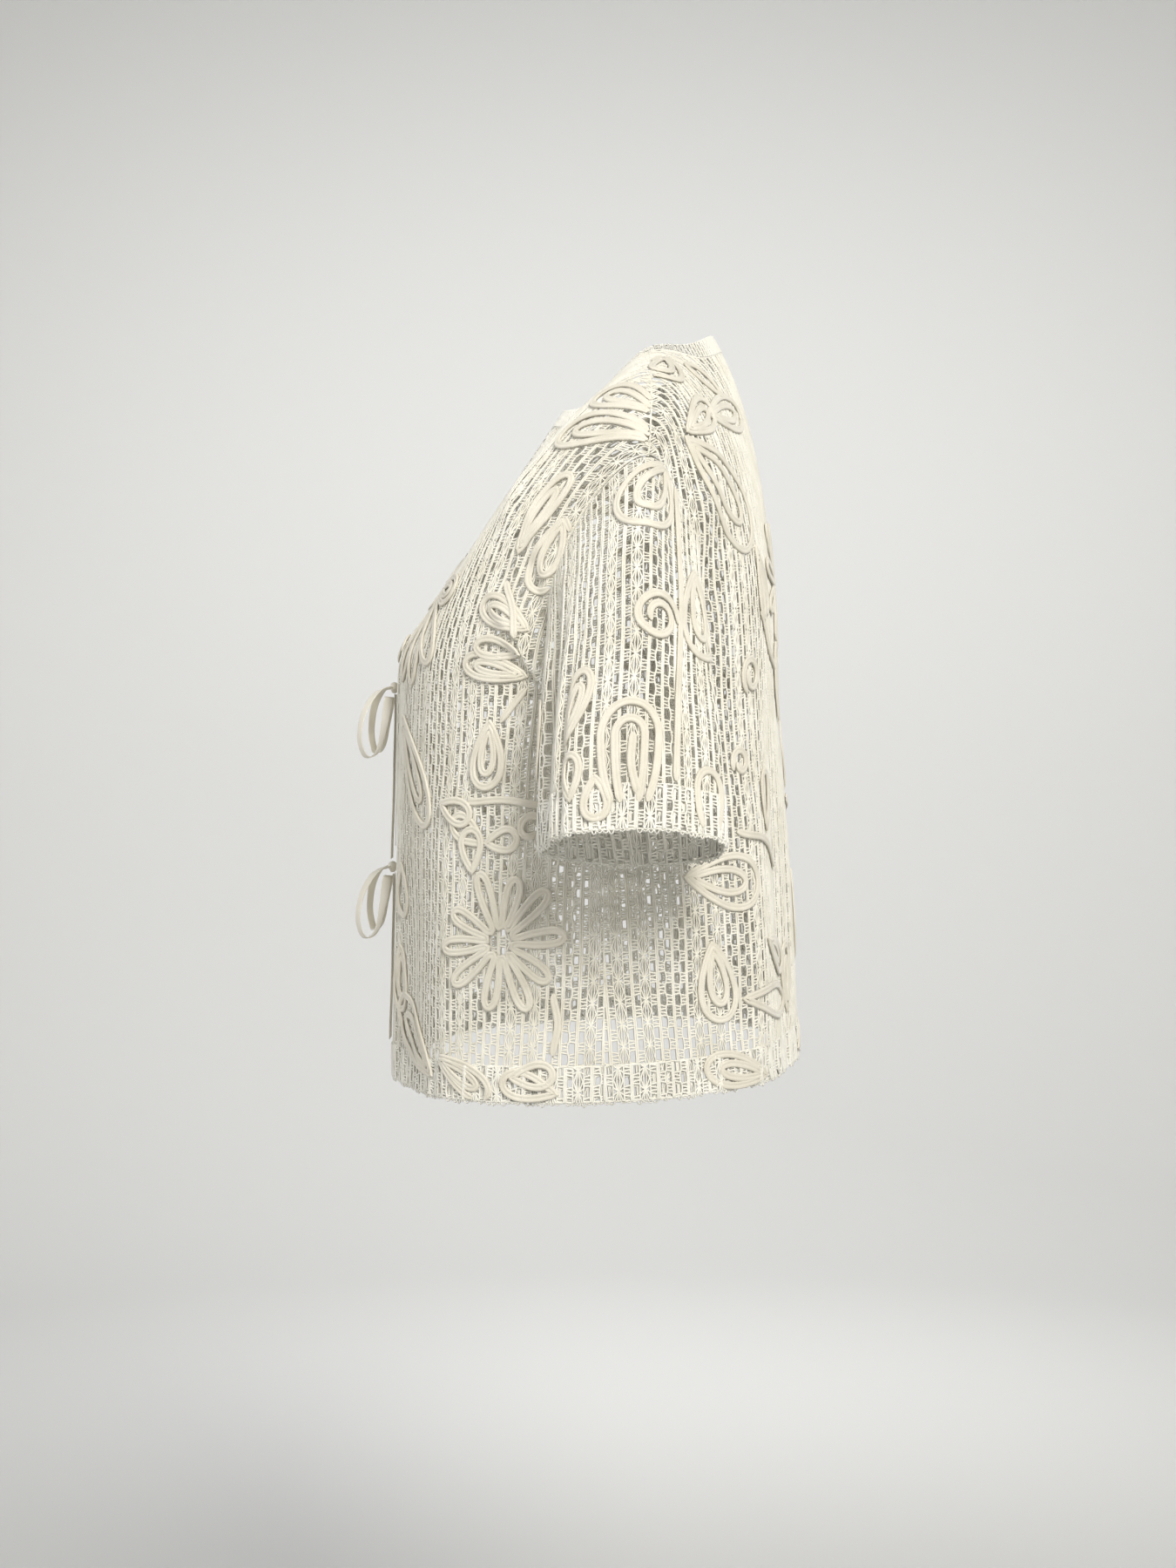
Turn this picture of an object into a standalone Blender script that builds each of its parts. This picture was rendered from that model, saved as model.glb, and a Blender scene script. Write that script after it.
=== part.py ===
"""Short-sleeved lace cardigan, filled out as it is worn.

Metres, +Z up. The origin is midway between the two upper ends of the shoulder seams. The wearer's front
faces -Y and the wearer's left is +X. Every panel is a cloth with its own flat coordinates: s runs across
the lace from the panel's centre line, t runs up its wales from the lower edge. A cloth turns (s, t) into a
point of the worn garment, so outlines, folds and the sewn braid are all laid out on the flat pattern.
"""

import math

import bmesh
import bpy
import numpy as np
from mathutils.geometry import delaunay_2d_cdt

# Cloth and seams
WALL = 0.0016
BAND_WALL = 0.0022
SEAM_GAP = 0.0003

# Body: sections of the loose body, lowest first
BODY_SECTIONS = (
    # height, half_width, front_depth, rear_depth
    (-0.450, 0.199, 0.1610, 0.0965),
    (-0.400, 0.197, 0.1595, 0.0935),
    (-0.330, 0.195, 0.1590, 0.0900),
    (-0.270, 0.193, 0.1590, 0.0870),
    (-0.215, 0.190, 0.1580, 0.0835),
    (-0.150, 0.186, 0.1560, 0.0800),
)
SQUARENESS = 2.3
SIDE_Y = -0.028
HEM_Z = -0.4482
HEM_TILT = 0.042
BAND_HEIGHT = 0.020

# Shoulders and neck
SHOULDER_SLOPE = 0.38
SHOULDER_ROUND = 6.5
NECK_S = 0.0765
TIP_S = 0.214
NECK_RISE = 0.030
NECK_ROUNDNESS = 0.9
NECK_STAND = 0.004
NECK_WIDTH = 0.012
NECK_GAP = 0.0005
FRONT_NECK_Z = -0.031
REAR_NECK_Z = 0.017
EDGE_WIDTH = 0.022
CENTRE_GAP = 0.003
UNDERARM_Z = -0.234

# Sleeve
SLEEVE_HALF = 0.165
CUFF_CENTRE = (0.2480, -0.0117, -0.3037)
CUFF_LEAN = math.radians(14.5)
CUFF_OUT = 0.0470
CUFF_FORE = 0.0505
CUFF_HEIGHT = 0.024
ARMHOLE_GAP = 0.0024

# Braid
BRAID_WIDTH = 0.0046
BRAID_RAISE = 0.0016

# Ribbon
RIBBON_WIDTH = 0.007
RIBBON_THICK = 0.0010
ROOT_LENGTH = 0.014
KNOT_AHEAD = 0.0048
RIBBON_GATHER = 0.45
RIBBON_GATHER_REACH = 0.008

# Largest folds, on each panel's flat coordinates
FRONT_FOLDS = (
    # s0, t0, s1, t1, half_width, depth
    (0.262, 0.205, 0.165, 0.345, 0.010, -0.0050),
    (0.266, 0.185, 0.190, 0.300, 0.010, 0.0050),
    (0.262, 0.215, 0.140, 0.385, 0.012, 0.0045),
    (0.262, 0.150, 0.225, 0.240, 0.012, -0.0045),
    (0.060, -0.040, 0.070, 0.170, 0.016, 0.0030),
    (0.110, -0.040, 0.105, 0.140, 0.018, -0.0030),
    (0.165, -0.040, 0.160, 0.190, 0.018, 0.0030),
    (0.220, -0.040, 0.222, 0.130, 0.018, -0.0035),
)
BACK_FOLDS = (
    # s0, t0, s1, t1, half_width, depth
    (0.040, -0.040, 0.038, 0.200, 0.020, 0.0030),
    (0.095, -0.040, 0.100, 0.230, 0.018, -0.0035),
    (0.150, -0.040, 0.148, 0.180, 0.018, 0.0035),
    (0.205, -0.040, 0.200, 0.150, 0.018, -0.0030),
    (0.235, 0.200, 0.165, 0.330, 0.012, -0.0040),
    (0.225, 0.245, 0.140, 0.390, 0.014, 0.0035),
)
SLEEVE_FOLDS = (
    # s0, t0, s1, t1, half_width, depth
    (-0.072, -0.030, -0.066, 0.150, 0.010, -0.0050),
    (-0.100, -0.030, -0.092, 0.120, 0.011, 0.0045),
    (-0.035, -0.030, -0.040, 0.110, 0.014, 0.0025),
    (0.040, -0.030, 0.035, 0.130, 0.014, -0.0025),
    (0.090, -0.030, 0.080, 0.140, 0.012, -0.0045),
    (0.118, -0.030, 0.110, 0.100, 0.012, 0.0040),
)

# Sewn braid, laid out on the flat panels in millimetres and degrees
FRONT_BRAID = (
    # form, s, t, heading, size, shape
    ("flower", 204, 91, 5, 27, 10),
    ("leaf", 84, 224, -50, 84, 0.30),
    ("leaf", 193, 217, 268, 37, 0.55),
    ("vine", 215, 236, 231, 24, 0),
    ("leaf", 214, 243, 166, 44, 0.30),
    ("leaf", 210, 256, 168, 32, 0.32),
    ("leaf", 212, 270, 152, 40, 0.36),
    ("fan", 96, 302, 278, 58, 3),
    ("leaf", 190, 318, 86, 50, 0.28),
    ("leaf", 208, 338, 278, 46, 0.50),
    ("leaf", 208, 413, 187, 44, 0.40),
    ("leaf", 156, 171, -18, 26, 0.50),
    ("vine", 178, 172, -4, 54, 8),
    ("curl", 231, 152, 90, 9, 0.9),
    ("leaf", 184, 132, 95, 24, 0.60),
    ("leaf", 84, 133, 275, 31, 0.62),
    ("leaf", 80, 82, 275, 38, 0.55),
    ("leaf", 152, 12, 153, 80, 0.33),
    ("leaf", 160, 23, -26, 44, 0.34),
    ("leaf", 242, 5, 168, 34, 0.42),
    ("vine", 238, 62, 272, 36, 14),
)
BACK_BRAID = (
    # form, s, t, heading, size, shape
    ("leaf", 178, 374, 223, 80, 0.30),
    ("leaf", 174, 381, 156, 54, 0.34),
    ("flower", 48, 298, 15, 27, 9),
    ("leaf", 110, 316, 250, 40, 0.36),
    ("vine", 114, 278, 219, 60, 20),
    ("curl", 138, 226, 30, 12, 1.3),
    ("curl", 162, 180, 60, 9, 1.1),
    ("leaf", 48, 163, 186, 114, 0.13),
    ("vine", 166, 148, 200, 72, -14),
    ("leaf", 206, 124, 188, 58, 0.52),
    ("leaf", 190, 84, 262, 44, 0.60),
    ("leaf", 136, 82, 202, 50, 0.34),
    ("leaf", 166, 50, 187, 76, 0.24),
    ("leaf", 30, 116, 262, 56, 0.42),
    ("vine", 30, 226, 268, 60, 26),
    ("leaf", 150, 4, 12, 50, 0.36),
    ("leaf", 52, 6, 168, 50, 0.38),
)
SLEEVE_BRAID = (
    # form, s, t, heading, size, shape
    ("leaf", 12, 226, 254, 54, 0.46),
    ("vine", 30, 222, 269, 197, 3),
    ("curl", 15, 111, 90, 16, 1.6),
    ("leaf", 46, 160, 282, 56, 0.34),
    ("leaf", -4, 14, 91, 52, 0.58),
    ("vine", 0, 18, 95, 34, 10),
    ("leaf", 48, 2, 89, 33, 0.62),
    ("leaf", -44, 50, 72, 40, 0.36),
    ("leaf", -38, 18, 92, 24, 0.50),
    ("leaf", -92, 40, 95, 44, 0.40),
    ("curl", 108, 46, 100, 12, 1.2),
    ("leaf", -128, 10, 80, 38, 0.42),
)


# The body's shape

def half_ring(z):
    """Points round half the body at height z, centre front to centre back, and their distances."""
    sections = np.array(BODY_SECTIONS)
    width, front, rear = (np.interp(z, sections[:, 0], sections[:, k]) for k in (1, 2, 3))
    turn = np.linspace(0, math.pi / 2, 81)
    power = 2 / SQUARENESS
    x = width * np.sin(turn) ** power
    fore = SIDE_Y + (-front - SIDE_Y) * np.clip(np.cos(turn), 0, 1) ** power
    aft = SIDE_Y + (rear - SIDE_Y) * np.clip(np.cos(turn), 0, 1) ** power
    ring = np.concatenate([np.stack([x, fore], 1), np.stack([x, aft], 1)[-2::-1]])
    steps = np.linalg.norm(np.diff(ring, axis=0), axis=1)
    return ring, np.concatenate([[0], np.cumsum(steps)])


def side_s(z, rear):
    """Distance from the centre line to the side seam, round the body at height z."""
    ring, along = half_ring(z)
    seam = len(ring) // 2
    return along[-1] - along[seam] if rear else along[seam]


def ring_point(z, s, rear):
    ring, along = half_ring(z)
    at = along[-1] - s if rear else s
    return np.array([np.interp(at, along, ring[:, 0]), np.interp(at, along, ring[:, 1])])


def shoulder_point(s):
    """Where the wale at s crosses the top of the shoulder."""
    outside = max(s - 0.145, 0.0)
    z = SHOULDER_SLOPE * (NECK_S - s) - SHOULDER_ROUND * outside ** 2
    if s < NECK_S:
        inside = 1 - (s / NECK_S) ** 2
        z = SHOULDER_SLOPE * NECK_S / 2 * inside + NECK_RISE * inside ** 2
    return np.array([s - 1.2 * outside ** 2, 0.0, z])


def eased(value, low, high):
    part = np.clip((value - low) / (high - low), 0, 1)
    return part * part * (3 - 2 * part)


def climb(s, rear):
    """One wale from the hem to the top of the shoulder."""
    if rear:
        spring_z = -0.215
        power = 2 / (2.30 - 0.25 * eased(s, 0.06, 0.16))
    else:
        spring_z = -0.190 - 0.020 * eased(s, 0.05, 0.22)
        power = 2 / (1.02 + 0.62 * eased(s, 0.05, 0.20))
    foot = ring_point(HEM_Z, s, rear)
    lower = []
    for part in np.linspace(0, 1, 14):
        z = (HEM_Z + HEM_TILT * foot[1]) * (1 - part) + spring_z * part
        lower.append((*ring_point(z, s, rear), z))
    spring = np.array(lower[-1])
    top = shoulder_point(s)
    upper = []
    for turn in np.linspace(0, math.pi / 2, 26)[1:]:
        out = max(math.cos(turn), 0.0) ** power
        up = math.sin(turn) ** power
        x, y = top[:2] + (spring[:2] - top[:2]) * out
        z = spring[2] + (top[2] - spring[2]) * up
        if rear:
            z += NECK_STAND * math.exp(-((s - 0.052) / 0.030) ** 2 - ((y - 0.034) / 0.022) ** 2)
        upper.append((x, y, z))
    return np.array(lower + upper)


def resampled(line, step):
    """Points along a line at even steps, near the step that is asked for."""
    steps = np.linalg.norm(np.diff(line, axis=0), axis=1)
    along = np.concatenate([[0], np.cumsum(steps)])
    at = np.linspace(0, along[-1], max(round(along[-1] / step), 1) + 1)
    return np.stack([np.interp(at, along, line[:, k]) for k in range(line.shape[1])], 1)


def softened(line, reach):
    """The line with its corners rounded over reach points on each side."""
    weights = np.hanning(2 * reach + 3)[1:-1]
    weights /= weights.sum()
    head = 2 * line[0] - line[reach:0:-1]
    tail = 2 * line[-1] - line[-2:-reach - 2:-1]
    padded = np.concatenate([head, line, tail])
    return np.stack([np.convolve(padded[:, k], weights, "valid") for k in range(3)], 1)


class Cloth:
    """A cloth as a grid of wales: column i is at s = first + i * across, row j at t = j * UP."""

    UP = 0.004

    def __init__(self, columns, first, across, tops, outward, folds, mirrored=False):
        self.grid = np.array(columns)
        self.first = first
        self.across = across
        self.tops = np.array(tops)
        self.outward = outward
        self.folds = folds
        self.mirrored = mirrored

    def top(self, s):
        """How far up the wale at s the seam at its upper end lies."""
        at = np.abs(s) if self.mirrored else s
        return np.interp(at, self.first + self.across * np.arange(len(self.tops)), self.tops)

    def plain(self, st):
        s = np.abs(st[:, 0]) if self.mirrored else st[:, 0]
        a = np.clip((s - self.first) / self.across, 0, len(self.grid) - 1.001)
        b = np.clip(st[:, 1] / self.UP, 0, self.grid.shape[1] - 1.001)
        i, j = a.astype(int), b.astype(int)
        u, v = (a - i)[:, None], (b - j)[:, None]
        g = self.grid
        lower = g[i, j] * (1 - u) + g[i + 1, j] * u
        upper = g[i, j + 1] * (1 - u) + g[i + 1, j + 1] * u
        found = lower * (1 - v) + upper * v
        if self.mirrored:
            found[:, 0] *= np.where(st[:, 0] < 0, -1, 1)
        return found

    def fold_height(self, st):
        s = np.abs(st[:, 0]) if self.mirrored else st[:, 0]
        height = np.zeros(len(st))
        for s0, t0, s1, t1, half_width, depth in self.folds:
            run = np.array([s1 - s0, t1 - t0])
            length = np.linalg.norm(run)
            from_start = np.stack([s - s0, st[:, 1] - t0], 1)
            along = from_start @ run / length ** 2
            aside = (from_start[:, 0] * run[1] - from_start[:, 1] * run[0]) / length
            fade = np.sin(math.pi * np.clip(along, 0, 1)) ** 0.7
            height += depth * fade * np.exp(-(aside / half_width) ** 2)
        return height

    def faces_out(self, st):
        """The unit direction out of the garment at each place."""
        step = 0.003
        across = self.plain(st + [step, 0]) - self.plain(st - [step, 0])
        up = self.plain(st + [0, step]) - self.plain(st - [0, step])
        out = np.cross(across, up) * self.outward
        return out / np.linalg.norm(out, axis=1)[:, None]

    def points(self, st, out=0.0):
        """The worn place of each flat point, moved out of the garment by out."""
        st = np.asarray(st, float)
        lift = (self.fold_height(st) + out)[:, None]
        return self.plain(st) + self.faces_out(st) * lift


def body_cloths():
    """The cloth of the left front and of the whole back."""
    across, reach = 0.005, 6
    fronts, rears, front_tops, rear_tops = [], [], [], []
    rows = 150
    for s in np.arange(0, 0.301, across):
        front, rear = climb(s, False), climb(s, True)
        front_share = np.linalg.norm(np.diff(front, axis=0), axis=1).sum()
        rear_share = np.linalg.norm(np.diff(rear, axis=0), axis=1).sum()
        wale = softened(resampled(np.concatenate([front, rear[-2::-1]]), 0.003), reach)
        steps = np.linalg.norm(np.diff(wale, axis=0), axis=1)
        along = np.concatenate([[0], np.cumsum(steps)])
        crest = along[-1] * front_share / (front_share + rear_share)
        at = np.arange(rows) * Cloth.UP
        fronts.append(np.stack([np.interp(at, along, wale[:, k]) for k in range(3)], 1))
        rears.append(np.stack([np.interp(along[-1] - at, along, wale[:, k]) for k in range(3)], 1))
        front_tops.append(crest)
        rear_tops.append(along[-1] - crest)
    front = Cloth(fronts, 0.0, across, front_tops, 1, FRONT_FOLDS)
    back = Cloth(rears, 0.0, across, rear_tops, -1, BACK_FOLDS, mirrored=True)
    return front, back


def height_to_t(cloth, s, z):
    """How far up the wale at s the cloth reaches height z."""
    t = np.arange(0, cloth.top(s), 0.002)
    heights = cloth.plain(np.stack([np.full(len(t), s), t], 1))[:, 2]
    return float(np.interp(z, heights, t))


def side_seam(rear, heights):
    """The side seam on the flat panel, at the given heights."""
    return [(side_s(z, rear), z - (HEM_Z + HEM_TILT * SIDE_Y)) for z in heights]


def armhole(cloth, rear, count=15):
    """The armhole on the flat panel, from the shoulder tip down to the underarm."""
    tip = np.array([TIP_S, cloth.top(TIP_S)])
    foot = np.array(side_seam(rear, [UNDERARM_Z])[0])
    if rear:
        pulls = np.array([TIP_S - 0.054, tip[1] - 0.050]), foot + [-0.062, 0.004]
    else:
        pulls = np.array([TIP_S + 0.002, tip[1] - 0.080]), foot + [-0.046, 0.004]
    part = np.linspace(0, 1, count)[:, None]
    curve = (
        tip * (1 - part) ** 3
        + 3 * pulls[0] * part * (1 - part) ** 2
        + 3 * pulls[1] * part ** 2 * (1 - part)
        + foot * part ** 3
    )
    return [tuple(point) for point in curve]


def neckline(cloth, low_t, centre_s, inset, count=13):
    """The neckline on the flat panel from the centre line to the shoulder: round as seen from above."""
    end_s = NECK_S + inset
    depth = abs(cloth.plain(np.array([[0.0, low_t - inset]]))[0, 1])
    line = []
    for turn in np.linspace(0, math.pi / 2, count):
        s = centre_s + (end_s - centre_s) * math.sin(turn)
        t = np.linspace(low_t - 0.05, float(cloth.top(s)), 60)
        reach = np.abs(cloth.plain(np.stack([np.full(len(t), s), t], 1))[:, 1])
        line.append((s, float(np.interp(-depth * math.cos(turn) ** NECK_ROUNDNESS, -reach, t))))
    return line[:-1] + [(end_s, float(cloth.top(end_s)))]


def sleeve_cloth(front, back):
    """The left sleeve's cloth: s runs from the underarm by the front, the top and the back."""
    fore = front.points(armhole(front, False, 40)[::-1])
    aft = back.points(armhole(back, True, 40))

    def share(line, parts):
        steps = np.linalg.norm(np.diff(line, axis=0), axis=1)
        along = np.concatenate([[0], np.cumsum(steps)])
        return np.stack([np.interp(np.clip(parts, 0, 1) * along[-1], along, line[:, k]) for k in range(3)], 1)

    lean_up = np.array([-math.sin(CUFF_LEAN), 0, math.cos(CUFF_LEAN)])
    lean_out = np.array([math.cos(CUFF_LEAN), 0, math.sin(CUFF_LEAN)])
    arrivals = (
        # turn, x, y, z
        (0.0, -0.80, 0.00, 0.60),
        (0.5, -0.62, 0.00, 0.78),
        (0.8, -0.80, 0.00, 0.60),
        (1.0, -0.92, 0.00, 0.38),
    )
    table = np.array(arrivals)
    columns, tops = [], []
    turns = np.linspace(-1, 1, 67)
    for turn in turns:
        start = (
            np.array(CUFF_CENTRE)
            + CUFF_OUT * math.cos(math.pi * turn) * lean_out
            + np.array([0, CUFF_FORE * math.sin(math.pi * turn), 0])
        )
        hole, place = (fore, turn + 1) if turn < 0 else (aft, turn)
        end = share(hole, np.array([place]))[0]
        arrive = np.array([np.interp(abs(turn), table[:, 0], table[:, k]) for k in (1, 2, 3)])
        arrive /= np.linalg.norm(arrive)
        reach = np.linalg.norm(end - start)
        part = np.linspace(0, 1, 60)[:, None]
        line = (
            (2 * part ** 3 - 3 * part ** 2 + 1) * start
            + (part ** 3 - 2 * part ** 2 + part) * lean_up * reach * 0.9
            + (3 * part ** 2 - 2 * part ** 3) * end
            + (part ** 3 - part ** 2) * arrive * reach * 1.1
        )
        steps = np.linalg.norm(np.diff(line, axis=0), axis=1)
        along = np.concatenate([[0], np.cumsum(steps)])
        line = np.concatenate([line, [line[-1] + (line[-1] - line[-2]) / steps[-1] * 0.2]])
        along = np.append(along, along[-1] + 0.2)
        at = np.arange(80) * Cloth.UP
        columns.append(np.stack([np.interp(at, along, line[:, k]) for k in range(3)], 1))
        tops.append(along[-2])
    across = 2 * SLEEVE_HALF / (len(turns) - 1)
    return Cloth(columns, -SLEEVE_HALF, across, tops, 1, SLEEVE_FOLDS)


# Braid forms, each a list of lines in millimetres with the base at the origin and the heading along +x

def leaf_form(length, plumpness, count=10):
    """A loop with its point at the base and a round tip."""
    turn = np.linspace(0, 2 * math.pi, count)
    x = length * (1 - np.cos(turn)) / 2
    y = length * plumpness * 0.65 * np.sin(turn) * np.sin(turn / 2)
    return [np.stack([x, y], 1)]


def flower_form(radius, petals):
    """Open petals round a small bare middle."""
    lines = []
    for k in range(int(petals)):
        petal = leaf_form(radius, 3.4 / petals, 9)[0] + [radius * 0.42, 0]
        lines.append(spun(petal, 360 / petals * k))
    return lines


def fan_form(length, petals):
    """A half flower whose petals open from one point."""
    lines = []
    for k in range(int(petals)):
        angle = (k - (petals - 1) / 2) * 30
        lines.append(spun(leaf_form(length, 0.30, 10)[0], angle))
    return lines


def curl_form(radius, turns, count=11):
    """A spiral that winds in."""
    turn = np.linspace(0, 2 * math.pi * turns, count)
    shrink = 1 - 0.62 * turn / turn[-1]
    x = radius * shrink * np.sin(turn) + radius * 0.4
    y = radius * (1 - shrink * np.cos(turn))
    return [np.stack([x, y], 1)]


def vine_form(length, bend, count=10):
    """A stem that turns through bend degrees and back."""
    part = np.linspace(0, 1, count)
    heading = np.radians(bend) * np.sin(2 * math.pi * part)
    step = length / (count - 1)
    x = np.concatenate([[0], np.cumsum(step * np.cos(heading[:-1]))])
    y = np.concatenate([[0], np.cumsum(step * np.sin(heading[:-1]))])
    return [np.stack([x, y], 1)]


FORMS = {
    "leaf": leaf_form,
    "flower": flower_form,
    "fan": fan_form,
    "curl": curl_form,
    "vine": vine_form,
}


def spun(line, degrees):
    angle = math.radians(degrees)
    turn = np.array([[math.cos(angle), math.sin(angle)], [-math.sin(angle), math.cos(angle)]])
    return line @ turn


def braid_lines(layout, both_sides):
    """Every braid line of a panel, in metres on its flat coordinates."""
    lines = []
    for form, s, t, heading, size, shape in layout:
        for line in FORMS[form](size, shape):
            placed = (spun(line, heading) + [s, t]) / 1000
            lines.append(placed)
            if both_sides:
                lines.append(placed * [-1, 1])
    return lines


# Walls

def beside(line, distance):
    """The line moved to its left by distance, with mitred corners."""
    ahead = np.gradient(line, axis=0)
    if np.allclose(line[0], line[-1]):
        ahead[0] = ahead[-1] = line[1] - line[-2]
    ahead /= np.linalg.norm(ahead, axis=1)[:, None]
    return line + np.stack([-ahead[:, 1], ahead[:, 0]], 1) * distance


def distance_to(points, lines):
    """Distance from each flat point to the nearest of the lines."""
    nearest = np.full(len(points), 1.0)
    for line in lines:
        for a, b in zip(line[:-1], line[1:]):
            run = b - a
            part = np.clip((points - a) @ run / (run @ run), 0, 1)[:, None]
            nearest = np.minimum(nearest, np.linalg.norm(points - a - part * run, axis=1))
    return nearest


def within(points, outline):
    """Which flat points are inside the outline."""
    inside = np.zeros(len(points), bool)
    for (s0, t0), (s1, t1) in zip(outline, np.roll(outline, -1, axis=0)):
        crosses = (t0 > points[:, 1]) != (t1 > points[:, 1])
        rise = t1 - t0 if t1 != t0 else 1e-12
        inside ^= crosses & (points[:, 0] < (s1 - s0) * (points[:, 1] - t0) / rise + s0)
    return inside


def inner_points(outline, step, clear_of):
    """A staggered grid inside the outline, clear of its edge and of the lines."""
    low, high = outline.min(axis=0), outline.max(axis=0)
    rows = []
    for k, t in enumerate(np.arange(low[1] + step * 0.5, high[1], step)):
        shift = (k % 2) * step / 2
        rows += [(s, t) for s in np.arange(low[0] + step * 0.3 + shift, high[0], step)]
    if not rows:
        return np.empty((0, 2))
    grid = np.array(rows)
    grid = grid[within(grid, outline)]
    edge = np.concatenate([outline, outline[:1]])
    grid = grid[distance_to(grid, [edge]) > step * 0.42]
    return grid[distance_to(grid, clear_of) > BRAID_WIDTH * 1.2] if clear_of else grid


def triangulated(outline, extra, lines):
    """Triangles inside the outline that keep to its edge and to the lines: (points, triangles)."""
    points = [tuple(p) for p in outline]
    edges = []
    for line in lines:
        start = len(points)
        points += [tuple(p) for p in line]
        edges += [(start + k, start + k + 1) for k in range(len(line) - 1)]
    points += [tuple(p) for p in extra]
    millimetres = [(s * 1000, t * 1000) for s, t in points]
    face = [list(range(len(outline)))]
    found = delaunay_2d_cdt(millimetres, edges, face, 1, 1e-3, True)
    kept = [list(tri) for tri, owners in zip(found[2], found[5]) if owners]
    used = sorted({v for tri in kept for v in tri})
    number = {v: k for k, v in enumerate(used)}
    where = np.array([tuple(found[0][v]) for v in used]) / 1000
    return where, [[number[v] for v in tri] for tri in kept]


def border_of(triangles):
    """The closed border of some triangles, in order."""
    sides = {(tri[k], tri[(k + 1) % 3]) for tri in triangles for k in range(3)}
    after = {a: b for a, b in sides if (b, a) not in sides}
    first = next(iter(after))
    loop = [first]
    while after[loop[-1]] != first:
        loop.append(after[loop[-1]])
    return loop


def wall(name, cloth, outline, braid, thickness, step, mirror_x=False):
    """A cloth wall over the outline: plain inside, with the braid raised outside."""
    outline = np.array(outline)
    near = [line for line in braid if within(line, outline).any()]
    ridges = []
    for line in near:
        ridges += [line, beside(line, BRAID_WIDTH / 2), beside(line, -BRAID_WIDTH / 2)]
    where, outer = triangulated(outline, inner_points(outline, step, near), ridges)
    raised = np.zeros(len(where))
    if near:
        raised = BRAID_RAISE * np.clip(1 - distance_to(where, near) / (BRAID_WIDTH / 2), 0, 1)
    loop = border_of(outer)
    edge = where[loop]
    inside, inner = triangulated(edge, inner_points(edge, step * 1.5, []), [])
    keys = {tuple(np.round(p, 7)): k for k, p in enumerate(inside)}
    inner_loop = [keys[tuple(np.round(p, 7))] for p in edge]
    outer_points = cloth.points(where, thickness / 2 + raised)
    inner_places = cloth.points(inside, -thickness / 2)
    base = len(outer_points)
    faces = [list(tri) for tri in outer]
    faces += [[base + v for v in reversed(tri)] for tri in inner]
    for k in range(len(loop)):
        after = (k + 1) % len(loop)
        faces.append([loop[after], loop[k], base + inner_loop[k], base + inner_loop[after]])
    places = np.concatenate([outer_points, inner_places])
    if mirror_x:
        places = places * [-1, 1, 1]
    return mesh_object(name, places, faces)


def mesh_object(name, points, faces):
    """An object whose faces point out of a closed shape."""
    mesh = bpy.data.meshes.new(name)
    mesh.from_pydata([tuple(p) for p in points], [], faces)
    shape = bmesh.new()
    shape.from_mesh(mesh)
    bmesh.ops.recalc_face_normals(shape, faces=shape.faces)
    shape.to_mesh(mesh)
    shape.free()
    made = bpy.data.objects.new(name, mesh)
    bpy.context.scene.collection.objects.link(made)
    return made


def sheet_object(name, rows, thickness, mirror_x=False):
    """An open grid of points thickened to both sides."""
    rows = np.array(rows)
    if mirror_x:
        rows = rows * [-1, 1, 1]
    count, width = rows.shape[:2]
    faces = []
    for k in range(count - 1):
        for m in range(width - 1):
            a = k * width + m
            faces.append([a, a + 1, a + width + 1, a + width])
    made = mesh_object(name, rows.reshape(-1, 3), faces)
    solid = made.modifiers.new("Solidify", "SOLIDIFY")
    solid.thickness = thickness
    solid.offset = 0.0
    solid.use_even_offset = True
    return made


# Outlines on the flat panels

def spaced(start, end, step):
    """Points from start up to but not at end."""
    count = max(int(math.ceil(math.dist(start, end) / step)), 1)
    return [tuple(np.array(start) + (np.array(end) - np.array(start)) * k / count) for k in range(count)]


def body_outline(cloth, rear, low_t, centre_s):
    """Half a body panel from the hem band up the side, the armhole, the shoulder and down the neckline."""
    band_top = BAND_HEIGHT + SEAM_GAP
    seam = side_seam(rear, np.linspace(HEM_Z + band_top + HEM_TILT * SIDE_Y, UNDERARM_Z, 9))
    seam = [(s - SEAM_GAP / 2, t) for s, t in seam]
    seam[0] = (seam[0][0], band_top)
    hole = armhole(cloth, rear)[::-1]
    hole[0] = seam[-1]
    hole[-1] = (hole[-1][0], hole[-1][1] - SEAM_GAP / 2)
    inset = NECK_WIDTH + NECK_GAP
    neck = neckline(cloth, low_t, centre_s, inset)[::-1]
    neck[0] = (neck[0][0], neck[0][1] - SEAM_GAP / 2)
    shoulder = []
    for s in np.linspace(TIP_S, NECK_S + inset, 9)[1:-1]:
        shoulder.append((s, float(cloth.top(s)) - SEAM_GAP / 2))
    return seam[:-1] + hole + shoulder + neck


def front_panel_outline(cloth, low_t):
    edge = EDGE_WIDTH + SEAM_GAP
    side = body_outline(cloth, False, low_t, CENTRE_GAP)
    side = [point for point in side if point[0] > edge + 0.002]
    neck_t = float(np.interp(edge, *np.array(neckline(cloth, low_t, CENTRE_GAP, NECK_WIDTH + NECK_GAP)).T))
    top = (edge, neck_t)
    base = (edge, BAND_HEIGHT + SEAM_GAP)
    return side + spaced(top, base, 0.022) + spaced(base, side[0], 0.018)


def back_panel_outline(cloth, low_t):
    side = body_outline(cloth, True, low_t, 0.0)
    other = [(-s, t) for s, t in side[::-1]]
    return side + other[1:] + spaced(other[-1], side[0], 0.018)[1:]


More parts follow.
